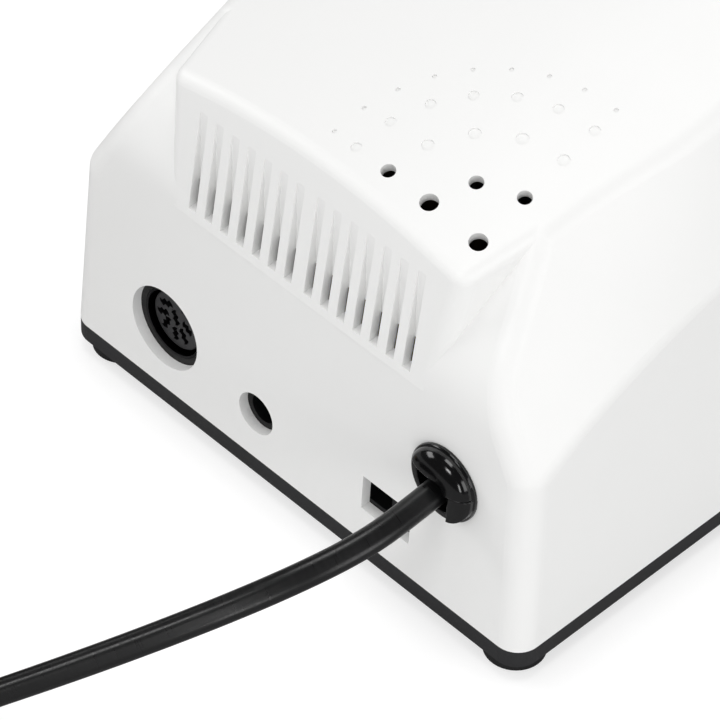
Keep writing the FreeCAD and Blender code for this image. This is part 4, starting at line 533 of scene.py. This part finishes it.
class NailDrillSettings(bpy.types.PropertyGroup):
    stage: PointerProperty(type=StageSizes)
    shell: PointerProperty(type=ShellFinish)
    lead: PointerProperty(type=LeadSizes)


# Stage

# How much the floor glows towards the camera, so that it reads as a white ground
FLOOR_LIFT = 0.62


def floor_paper():
    # White seamless paper: a plain white ground that keeps only the softest contact shadow
    material = bpy.data.materials.new("seamless_paper")
    material.use_nodes = True
    tree = material.node_tree
    tree.nodes.clear()
    rays = add_node(tree, "LightPath")
    seen = add_node(tree, "Math", {0: rays.outputs["Is Camera Ray"], 1: rays.outputs["Is Transmission Ray"]},
                    operation="MAXIMUM")
    paper_colour = add_node(tree, "Mix", {0: rays.outputs["Is Glossy Ray"], 6: opaque(hex_colour("#F0F0F0")),
                                          7: opaque(hex_colour("#9A9A9A"))}, data_type="RGBA")
    paper = add_node(tree, "BsdfDiffuse", {"Color": paper_colour.outputs[2]})
    shaded = add_node(tree, "BsdfDiffuse", {"Color": opaque(hex_colour("#B4B4B4"))})
    lift = add_node(tree, "Emission", {"Color": opaque([1.0] * 3), "Strength": FLOOR_LIFT})
    lifted = add_node(tree, "AddShader", {0: shaded.outputs[0], 1: lift.outputs[0]})
    mixed = add_node(tree, "MixShader", {0: seen.outputs[0], 1: paper.outputs[0], 2: lifted.outputs[0]})
    add_node(tree, "OutputMaterial", {"Surface": mixed.outputs[0]})
    return material


def soft_box(name, place, aim, size, strength):
    """A rectangular soft light that looks at a point."""
    lamp = bpy.data.lights.new(name, "AREA")
    lamp.shape = "RECTANGLE"
    lamp.size, lamp.size_y = size
    lamp.energy = strength
    light = bpy.data.objects.new(name, lamp)
    light.location = place
    light.rotation_mode = "QUATERNION"
    light.rotation_quaternion = (Vector(aim) - Vector(place)).to_track_quat("-Z", "Y")
    bpy.context.scene.collection.objects.link(light)


# Name, place in m, size in m and power in W of each soft light
LAMPS = (
    ("overhead_box", (0.0, 0.1, 1.5), (0.6, 0.6), 4.8),
    ("rear_box", (-0.2, 1.2, 1.1), (0.4, 0.3), 3.3),
    ("low_strip", (-1.15, 1.1, 0.35), (0.2, 0.5), 2.2),
    ("side_strip", (1.25, 0.57, 0.75), (0.8, 0.45), 4.6),
    ("left_box", (-1.6, 0.1, 0.6), (0.8, 0.8), 5.6),
)


class NAILDRILL_OT_stage(bpy.types.Operator):
    """Camera at the photograph's angle, white paper floor and soft studio lights"""
    bl_idname = "naildrill.stage"
    bl_label = "Stage"

    def execute(self, context):
        sizes = settings().stage
        back = Vector((-math.sin(sizes.bearing) * math.cos(sizes.height),
                       math.cos(sizes.bearing) * math.cos(sizes.height), math.sin(sizes.height)))
        right = Vector((-math.cos(sizes.bearing), -math.sin(sizes.bearing), 0))
        upward = back.cross(right)
        turned_right = right * math.cos(sizes.roll) - upward * math.sin(sizes.roll)
        turned_up = right * math.sin(sizes.roll) + upward * math.cos(sizes.roll)
        camera_data = bpy.data.cameras.new("camera")
        camera_data.lens = sizes.lens
        camera_data.clip_start = 0.01
        camera = bpy.data.objects.new("camera", camera_data)
        axes = Matrix((turned_right, turned_up, back)).transposed().to_4x4()
        camera.matrix_world = Matrix.Translation(Vector(sizes.target) + back * sizes.distance) @ axes
        context.scene.collection.objects.link(camera)
        context.scene.camera = camera

        half = sizes.floor_size / 2
        mesh = bpy.data.meshes.new("floor")
        mesh.from_pydata([(-half, -half, 0), (half, -half, 0), (half, half, 0), (-half, half, 0)], [],
                         [(0, 1, 2, 3)])
        mesh.materials.append(floor_paper())
        floor = bpy.data.objects.new("floor", mesh)
        context.scene.collection.objects.link(floor)

        world = bpy.data.worlds.new("studio")
        context.scene.world = world
        world.use_nodes = True
        tree = world.node_tree
        tree.nodes.clear()
        rays = add_node(tree, "LightPath")
        seen = add_node(tree, "Math", {0: rays.outputs["Is Camera Ray"],
                                       1: rays.outputs["Is Transmission Ray"]}, operation="MAXIMUM")
        dimmer = add_node(tree, "Mix", {0: rays.outputs["Is Glossy Ray"], 6: opaque([1.0] * 3),
                                        7: opaque(hex_colour("#6A6A6A"))}, data_type="RGBA")
        room = add_node(tree, "Background", {"Color": dimmer.outputs[2], "Strength": sizes.room})
        paper = add_node(tree, "Background", {"Color": opaque([1.0] * 3), "Strength": 1.0})
        mixed = add_node(tree, "MixShader", {0: seen.outputs[0], 1: room.outputs[0], 2: paper.outputs[0]})
        add_node(tree, "OutputWorld", {"Surface": mixed.outputs[0]})

        middle = Vector((0, 0, 50 * MM))
        for name, place, size, strength in LAMPS:
            soft_box(name, place, middle, size, strength)
        context.scene.view_settings.view_transform = "Standard"
        return {"FINISHED"}


# Mains lead

# Corners of the lead's free run, in mm, from inside the relief to the table and into the coil
LEAD_ROUTE = (
    (-39.50, 70.49, 37.77),
    (-39.50, 79.90, 36.60),
    (-39.06, 92.83, 35.20),
    (-34.64, 106.40, 32.20),
    (-26.08, 121.27, 26.00),
    (-13.66, 138.35, 17.00),
    (0.14, 157.35, 8.20),
    (5.76, 171.26, 3.40),
    (7.12, 184.19, 3.40),
)
COIL_BEARING = math.radians(84.0)
COIL_OUTER = 38.0 * MM
COIL_STEP = 2.9 * MM
COIL_LAYER = 5.75 * MM
COIL_LEAD = 5.2 * MM
HALF_TURNS_DOWN = 7
POINTS_EACH_HALF = 8
TAIL_RUN = 8.0 * MM
# Degrees that the sheath's wide axis stands from the level at the exit, and that it turns by the coil
SHEATH_TILT = 33
SHEATH_TURN = 57
# Squareness of the sheath's oval, and how wide its groove is, of its width
SHEATH_POWER = 0.85
GROOVE_SHARE = 0.16


def coil_points(start, along, across):
    """Half turns that shrink, one that climbs a layer, and half turns that grow again."""
    radii = [COIL_OUTER - i * COIL_STEP for i in range(HALF_TURNS_DOWN + 1)]
    halves = [(r, 0.0) for r in radii[:-1]] + [(radii[-1], COIL_LAYER)] + [(r, 0.0) for r in radii[-2::-1]]
    step = math.pi / POINTS_EACH_HALF
    stretch = 1 / math.cos(step / 2)
    at = start + along * COIL_LEAD
    way = 1
    points = []
    for radius, rise in halves:
        centre = at + across * radius * way
        for k in range(POINTS_EACH_HALF):
            angle = (k + 0.5) * step
            climb = rise * (1 - math.cos(angle) * stretch) / 2
            points.append(centre - across * (way * radius * stretch * math.cos(angle))
                          + along * (way * radius * stretch * math.sin(angle)) + UP * climb)
        at = centre + across * (radius * way) + UP * rise
        way = -way
    return points, at + along * (COIL_LEAD * way), along * way


def lead_section(count=32):
    """Outline of a flat two-core sheath: an oval with a shallow groove along each broad side."""
    sizes = settings().lead
    outline = []
    for i in range(count):
        angle = 2 * math.pi * i / count
        across, up = math.cos(angle), math.sin(angle)
        x = math.copysign(abs(across) ** SHEATH_POWER, across) * sizes.width / 2
        groove = 1 - sizes.waist * math.exp(-(x / (GROOVE_SHARE * sizes.width)) ** 2)
        y = math.copysign(abs(up) ** SHEATH_POWER, up) * sizes.thickness / 2 * groove
        outline.append((x, y))
    return outline


def swept(path, section, turns):
    """A closed tube along a path; the section's wide axis stands at an angle to the level at each point."""
    count = len(section)
    points, faces, run = [], [], [0.0]
    for i, at in enumerate(path):
        before, after = path[max(i - 1, 0)], path[min(i + 1, len(path) - 1)]
        way = (after - before).normalized()
        level = way.cross(UP).normalized()
        rise = level.cross(way)
        wide = level * math.cos(turns[i]) + rise * math.sin(turns[i])
        thin = way.cross(wide)
        points += [at + wide * x + thin * y for x, y in section]
        if i:
            run.append(run[-1] + (at - path[i - 1]).length)
    for i in range(len(path) - 1):
        for k in range(count):
            near, far = i * count, (i + 1) * count
            faces.append((near + k, near + (k + 1) % count, far + (k + 1) % count, far + k))
    last = (len(path) - 1) * count
    faces.append(tuple(reversed(range(count))))
    faces.append(tuple(range(last, last + count)))
    return points, faces, run


def spline_line(points, steps):
    """The points of the smooth line that a NURBS spline draws through its control points."""
    curve = bpy.data.curves.new("lead_line", "CURVE")
    curve.dimensions = "3D"
    spline = curve.splines.new("NURBS")
    spline.points.add(len(points) - 1)
    for control, at in zip(spline.points, points):
        control.co = (*at, 1.0)
    spline.order_u = 3
    spline.use_endpoint_u = True
    spline.resolution_u = steps
    holder = bpy.data.objects.new("lead_line", curve)
    drawn = bpy.data.meshes.new_from_object(holder)
    line = [v.co.copy() for v in drawn.vertices]
    bpy.data.objects.remove(holder)
    return line


class NAILDRILL_OT_mains_lead(bpy.types.Operator):
    """Flat two-core lead from the strain relief to the floor, its put-away coil and its tail to the plug"""
    bl_idname = "naildrill.mains_lead"
    bl_label = "Mains lead"

    def execute(self, context):
        sizes = settings().lead
        route = [Vector(p) * MM for p in LEAD_ROUTE]
        along = Vector((math.cos(COIL_BEARING), math.sin(COIL_BEARING), 0))
        turns, end, away = coil_points(route[-1], along, along.cross(UP))
        plug_low, plug_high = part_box("plug_body")
        drop = UP * ((plug_low.z + plug_high.z) / 2 - end.z)
        tail = [end, end + away * TAIL_RUN, end + away * (2 * TAIL_RUN) + drop,
                end + away * (3 * TAIL_RUN) + drop]
        line = spline_line(route + turns + tail, sizes.steps)
        free = (len(route) - 1) * sizes.steps
        tilts = []
        for i in range(len(line)):
            part = min(1.0, i / free)
            tilts.append(math.radians(SHEATH_TILT + SHEATH_TURN * part * part * (3 - 2 * part)))
        section = lead_section()
        points, faces, run = swept(line, section, tilts)
        piece = make_piece("mains_lead", new_mesh("lead", points, faces), once(cord_pvc))
        count = len(section)
        layer = piece.data.uv_layers.new(name="run")
        for loop in piece.data.loops:
            ring, k = divmod(loop.vertex_index, count)
            layer.data[loop.index].uv = (run[ring], math.sin(math.pi * k / count) * sizes.width)
        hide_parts("power_cord", "cord_coil", "cord_tail")
        return {"FINISHED"}


class NAILDRILL_OT_shell(bpy.types.Operator):
    """Finishes of the top housing, the base tray and its feet and screws"""
    bl_idname = "naildrill.shell"
    bl_label = "Shell and base"

    def execute(self, context):
        dress(once(white_abs), "top_housing")
        dress(once(charcoal_abs), "base_tray")
        dress(once(black_rubber), "rubber_feet")
        dress(once(zinc_steel), "case_screws")
        return {"FINISHED"}


# Rear wall, in mm: its outside at the seam and the seam's height, and where each fitting's middle
# stands: distance from the middle plane, towards +X, and height over the seam

REAR_FACE = 75.0
SEAM = 8.0
RELIEF_AT = (-39.5, 29.9)
SOCKET_AT = (34.04, 14.95)


# Strain relief, in mm from the middle of its hole: x to the right seen from behind, y up, z out

RELIEF_BACK = -8.0
RELIEF_CROWN = 4.35
RELIEF_CHANNEL = 2.75
RELIEF_VOXEL = 0.13
RELIEF_SHARE = 0.3
RELIEF_FLANGE = 8.0
RELIEF_NECK = 6.85
RELIEF_DOME = 7.6
RELIEF_MOUTH = 3.7
RELIEF_BROW = 2.9
RELIEF_STEP = 1.1
RELIEF_WELL = 6.4
RELIEF_WELL_FLOOR = -3.0
RELIEF_JAW_LEFT = 4.0
RELIEF_JAW_RIGHT = 7.7
JAW_FOOT = 0.4
JAW_TOP = 0.9
JAW_RISE = 3.0
JAW_SWEEP = 7.8
JAW_LIFT = 1.9
CUT = 12


def dome_profile(foot, crown, radius, power=3.0, steps=22):
    """Half section of a shouldered dome, from its foot to its crown on the axis."""
    radii = [radius * math.cos(math.pi / 2 * i / steps) ** 0.6 for i in range(steps)]
    line = [(r, foot + (crown - foot) * math.sqrt(max(0.0, 1 - (r / radius) ** power))) for r in radii]
    return line + [(0, crown)]


def relief_hood():
    """Shouldered dome over the upper half, with the lead's mouth cut out of its lower left."""
    dome = lathe([(0, 0.3), (RELIEF_DOME, 0.3), *dome_profile(1.0, RELIEF_CROWN, RELIEF_DOME)])
    mouth = prism([(-CUT, RELIEF_BROW), (0.4, RELIEF_BROW + 0.25), *arc(RELIEF_MOUTH, 62, 24),
                   (RELIEF_MOUTH, RELIEF_STEP + 0.4), (CUT, RELIEF_STEP + 0.4), (CUT, -CUT), (-CUT, -CUT)],
                  -1.0, 9.0)
    return softened(carved(dome, mouth), RELIEF_VOXEL, 4, RELIEF_SHARE)


def relief_body():
    """Neck and flange with a D-shaped well round the lead, and the flat jaw at the lower right."""
    rim = [(RELIEF_FLANGE, 0.0), (RELIEF_FLANGE, 0.55),
           (RELIEF_FLANGE - 0.15, 0.85), (RELIEF_FLANGE - 0.45, 1.0)]
    body = lathe([(0, RELIEF_BACK), (RELIEF_NECK, RELIEF_BACK), (RELIEF_NECK, 0.0), *rim, (0, 1.0)])
    well = prism([*arc(RELIEF_WELL, 155, 305), (3.75, -2.0), (RELIEF_MOUTH, 0.4), *arc(RELIEF_MOUTH, 18, 62),
                  (0.4, RELIEF_BROW)], RELIEF_WELL_FLOOR, 6.0)
    channel = lathe([(0, -9.0), (RELIEF_CHANNEL, -9.0), (RELIEF_CHANNEL, 6.0), (0, 6.0)], 48)
    return softened(joined([carved(body, well, channel), relief_jaw()]), RELIEF_VOXEL, 3, RELIEF_SHARE)


def relief_jaw(columns=24):
    """Block at the lower right whose top bends down across it and runs level along it."""
    points, faces = [], []
    for i in range(columns + 1):
        x = RELIEF_JAW_LEFT + (RELIEF_JAW_RIGHT - RELIEF_JAW_LEFT) * (i / columns) ** 0.7
        top = JAW_TOP + JAW_RISE * math.sqrt(1 - (x / (RELIEF_JAW_RIGHT + 0.05)) ** 3)
        low = -math.sqrt(JAW_SWEEP ** 2 - x * x) + JAW_LIFT * (1 - (x - RELIEF_JAW_LEFT) / 4)
        high = RELIEF_STEP + 0.3
        points += [Vector(p) * MM for p in ((x, low, JAW_FOOT), (x, high, JAW_FOOT),
                                            (x, high, top), (x, low, top))]
    for i in range(columns):
        for k in range(4):
            a, b = 4 * i + k, 4 * i + (k + 1) % 4
            faces.append((a, b, b + 4, a + 4))
    faces += [(0, 1, 2, 3), tuple(4 * columns + k for k in (3, 2, 1, 0))]
    mesh = new_mesh("jaw", points, faces)
    welded(mesh)
    return mesh


# Ends in mm of the round socket's wavy slots, on its insert's face
SOCKET_SLOTS = (
    ((-4.8, 1.95), (-1.45, 2.95)),
    ((-5.35, -0.75), (-2.35, 0.25)),
    ((-1.05, 2.1), (0.2, -1.2)),
    ((-2.1, -0.75), (-3.55, -3.9)),
    ((-0.5, -1.95), (-0.05, -5.0)),
    ((1.1, -1.25), (2.85, -4.2)),
    ((1.6, 0.75), (4.05, -1.0)),
    ((1.0, 3.9), (3.9, 2.6)),
)
SLOT_WIDTH = 1.35
SLOT_WAVE = 0.3
SLOT_POINTS = 6
INSERT_RADIUS = 6.35
INSERT_BACK = -12.1
INSERT_FRONT = -3.2
# Faces of the insert deeper than this are inside its slots and take the black finish as painted shade
SLOT_SHADE_DEPTH = -3.6


def wavy_slot(first, last):
    """Outline of a slot that wavers from side to side between two points."""
    start, end = Vector(first), Vector(last)
    way = (end - start).normalized()
    side = Vector((-way.y, way.x))
    near, far = [], []
    for i in range(SLOT_POINTS):
        middle = start.lerp(end, i / (SLOT_POINTS - 1)) + side * (SLOT_WAVE * (-1) ** i)
        half = SLOT_WIDTH / 2 * (0.6 if i in (0, SLOT_POINTS - 1) else 1.0)
        near.append(tuple(middle + side * half))
        far.append(tuple(middle - side * half))
    return far + near[::-1]


def socket_insert():
    """Round insert with its wavy slots, its face set back from the wall's outside."""
    disc = lathe([(0, INSERT_BACK), (INSERT_RADIUS, INSERT_BACK), (INSERT_RADIUS, -3.5), (6.25, -3.28),
                  (6.05, INSERT_FRONT), (0, INSERT_FRONT)])
    return carved(disc, *(prism(wavy_slot(*ends), -10.5, 1.0) for ends in SOCKET_SLOTS))


def rear_place(x, height):
    """A frame on the rear wall's outside at a distance from the middle and a height over the seam, in mm."""
    lean = Vector(mount("pedal_jack")["axis"])
    draft = math.asin(lean.z)
    return face_place(Vector((x, REAR_FACE - height * math.tan(draft), SEAM + height)) * MM, lean)


class NAILDRILL_OT_rear_pieces(bpy.types.Operator):
    """Finishes of the round socket, the pedal jack, the voltage selector and the strain relief"""
    bl_idname = "naildrill.rear_pieces"
    bl_label = "Rear sockets and relief"

    def execute(self, context):
        dress(once(black_phenolic_and_slot_shade), "din_socket_body", "foot_jack", "voltage_selector", "selector_slider")
        # The shield's black finish is partly painted shade for the dark gap round the insert
        dress(once(black_nickel_gap_shade), "din_shield")
        dress(once(nickel_plate), "din_contacts", "jack_contact")
        relief = rear_place(*RELIEF_AT)
        hood = make_piece("relief_hood_form", relief_hood(), once(black_nylon),
                          place=relief)
        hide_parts("relief_hood")
        body = make_piece("relief_flange_form", relief_body(), once(black_nylon),
                          place=relief)
        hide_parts("relief_bushing")
        socket = rear_place(*SOCKET_AT)
        insert = make_piece("din_insert_form", socket_insert(), once(socket_resin),
                            place=socket, smooth=False)
        # The insert's slot walls take the black finish: painted shade inside the slots
        insert.data.materials.append(once(black_phenolic_and_slot_shade))
        inwards = socket.inverted()
        for face in insert.data.polygons:
            if (inwards @ face.center).z < SLOT_SHADE_DEPTH * MM:
                face.material_index = 1
        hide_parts("din_insert")
        return {"FINISHED"}


# Marks printed on the control face, in mm from the knob's middle: x to the right, y up the slope

INK = 0.03
TICKS = 21
TICK_RADIUS = 20.6
TICK_HALF = 0.18
LONG_TICK = 1.6
SHORT_TICK = 0.8
NUMBER_RADIUS = 25.0
NUMBER_HEIGHT = 3.6
MARK_HEIGHT = 2.8
MARKS_ABOVE = -27.2
MARKS_BELOW = -48.1
# Place across of the power and the mode rocker, with the marks above and below each
ROCKER_MARKS = ((27.0, ("I", "O")), (8.0, ("1", "2")))
ARROW_ACROSS = -9.0
ARROW_HALF = 1.3
ARROW_ABOVE = -27.4


def lettering(text, height):
    """A thin flat mesh of a word or number, its middle at the origin."""
    curve = bpy.data.curves.new("mark", "FONT")
    curve.body = text
    curve.size = height * MM
    curve.extrude = INK / 2 * MM
    curve.align_x = "CENTER"
    curve.align_y = "CENTER"
    curve.resolution_u = 4
    holder = bpy.data.objects.new("mark", curve)
    mesh = bpy.data.meshes.new_from_object(holder)
    bpy.data.objects.remove(holder)
    return mesh


def dial_marks():
    """Ticks and the numbers 0 to 10 round the knob, and plain marks by the rockers."""
    marks, places = [], []
    turn = joint("speed_turn")["range_deg"][1]
    for step in range(TICKS):
        angle = math.radians(90 + turn - step * turn / 10)
        longer = LONG_TICK if step % 2 == 0 else SHORT_TICK
        marks.append(prism([(TICK_RADIUS, -TICK_HALF), (TICK_RADIUS + longer, -TICK_HALF),
                            (TICK_RADIUS + longer, TICK_HALF), (TICK_RADIUS, TICK_HALF)], 0, INK))
        places.append(Matrix.Rotation(angle, 4, "Z"))
        if step % 2 == 0:
            marks.append(lettering(str(step // 2), NUMBER_HEIGHT))
            places.append(Matrix.Translation(Vector((NUMBER_RADIUS * math.cos(angle),
                                                     NUMBER_RADIUS * math.sin(angle), INK / 2)) * MM))
    for x, kinds in ROCKER_MARKS:
        for y, text in zip((MARKS_ABOVE, MARKS_BELOW), kinds):
            marks.append(lettering(text, MARK_HEIGHT))
            places.append(Matrix.Translation(Vector((x, y, INK / 2)) * MM))
    for y, tip in ((ARROW_ABOVE, ARROW_HALF), (MARKS_BELOW, -ARROW_HALF)):
        left, right, foot = ARROW_ACROSS - ARROW_HALF, ARROW_ACROSS + ARROW_HALF, y - tip / 2
        marks.append(prism([(left, foot), (right, foot), (ARROW_ACROSS, y + tip)], 0, INK))
        places.append(Matrix.Identity(4))
    return joined(marks, places)


class NAILDRILL_OT_control_face(bpy.types.Operator):
    """Finishes of the control face and its printed dial"""
    bl_idname = "naildrill.control_face"
    bl_label = "Control face"

    def execute(self, context):
        dress(once(overlay_film), "control_panel")
        dress(once(knob_plastic), "speed_knob")
        dress(once(pointer_paint), "knob_pointer")
        dress(once(rolled_aluminium), "speed_shaft")
        dress(once(zinc_steel), "speed_potentiometer", "potentiometer_nut")
        dress(once(rocker_plastic), "direction_rocker", "mode_rocker", "power_rocker", "lamp_holder")
        dress(once(black_phenolic_and_slot_shade), "direction_switch", "mode_switch", "power_switch", "handpiece_socket",
              "handpiece_insert")
        dress(once(stamped_brass), "direction_terminals", "mode_terminals", "power_terminals")
        dress(once(nickel_plate), "handpiece_ring_nut")
        dress(once(lamp_lens), "power_lamp")
        turn = joint("speed_turn")
        face = face_place(turn["pos_m"], turn["axis"])
        make_piece("dial_marks", dial_marks(), once(overlay_ink), place=face, smooth=False)
        return {"FINISHED"}


class NAILDRILL_OT_inner_pieces(bpy.types.Operator):
    """Finishes of the transformer, the circuit board and the parts on it"""
    bl_idname = "naildrill.inner_pieces"
    bl_label = "Inner pieces"

    def execute(self, context):
        dress(once(laminations), "transformer_core")
        dress(once(winding_tape), "transformer_winding")
        dress(once(zinc_steel), "transformer_strap", "transformer_screws", "board_screws")
        dress(once(black_epoxy), "transformer_pad", "power_transistor", "bridge_rectifier", "control_chip")
        dress(once(natural_nylon), "terminal_block", "board_connectors", "fuse_holder")
        dress(once(circuit_mask), "circuit_board")
        dress(once(rolled_aluminium), "heat_sink")
        dress(once(shrunk_sleeve), "filter_capacitors")
        dress(once(fuse_glass), "fuse")
        return {"FINISHED"}


class NAILDRILL_OT_plug(bpy.types.Operator):
    """Finishes of the plug, its blades and the tie round the coil"""
    bl_idname = "naildrill.plug"
    bl_label = "Plug and tie"

    def execute(self, context):
        dress(once(plug_pvc), "plug_body")
        dress(once(stamped_brass), "plug_blades")
        dress(once(tie_rubber), "coil_tie")
        return {"FINISHED"}


class NAILDRILL_PT_panel(bpy.types.Panel):
    """Steps of the nail drill machine's dressing"""
    bl_idname = "NAILDRILL_PT_panel"
    bl_label = "Nail drill machine"
    bl_space_type = "VIEW_3D"
    bl_region_type = "UI"
    bl_category = "Nail drill"

    def draw(self, context):
        for operator in OPERATORS:
            self.layout.operator(operator.bl_idname)


OPERATORS = (
    NAILDRILL_OT_stage,
    NAILDRILL_OT_rear_pieces,
    NAILDRILL_OT_mains_lead,
    NAILDRILL_OT_shell,
    NAILDRILL_OT_control_face,
    NAILDRILL_OT_inner_pieces,
    NAILDRILL_OT_plug,
)
CLASSES = (StageSizes, ShellFinish, LeadSizes, NailDrillSettings, *OPERATORS, NAILDRILL_PT_panel)


def register():
    for cls in CLASSES:
        bpy.utils.register_class(cls)
    bpy.types.Scene.nail_drill = PointerProperty(type=NailDrillSettings)


def unregister():
    del bpy.types.Scene.nail_drill
    for cls in reversed(CLASSES):
        bpy.utils.unregister_class(cls)


def main():
    register()
    for operator in OPERATORS:
        group, action = operator.bl_idname.split(".")
        getattr(getattr(bpy.ops, group), action)()


if __name__ == "__main__":
    main()
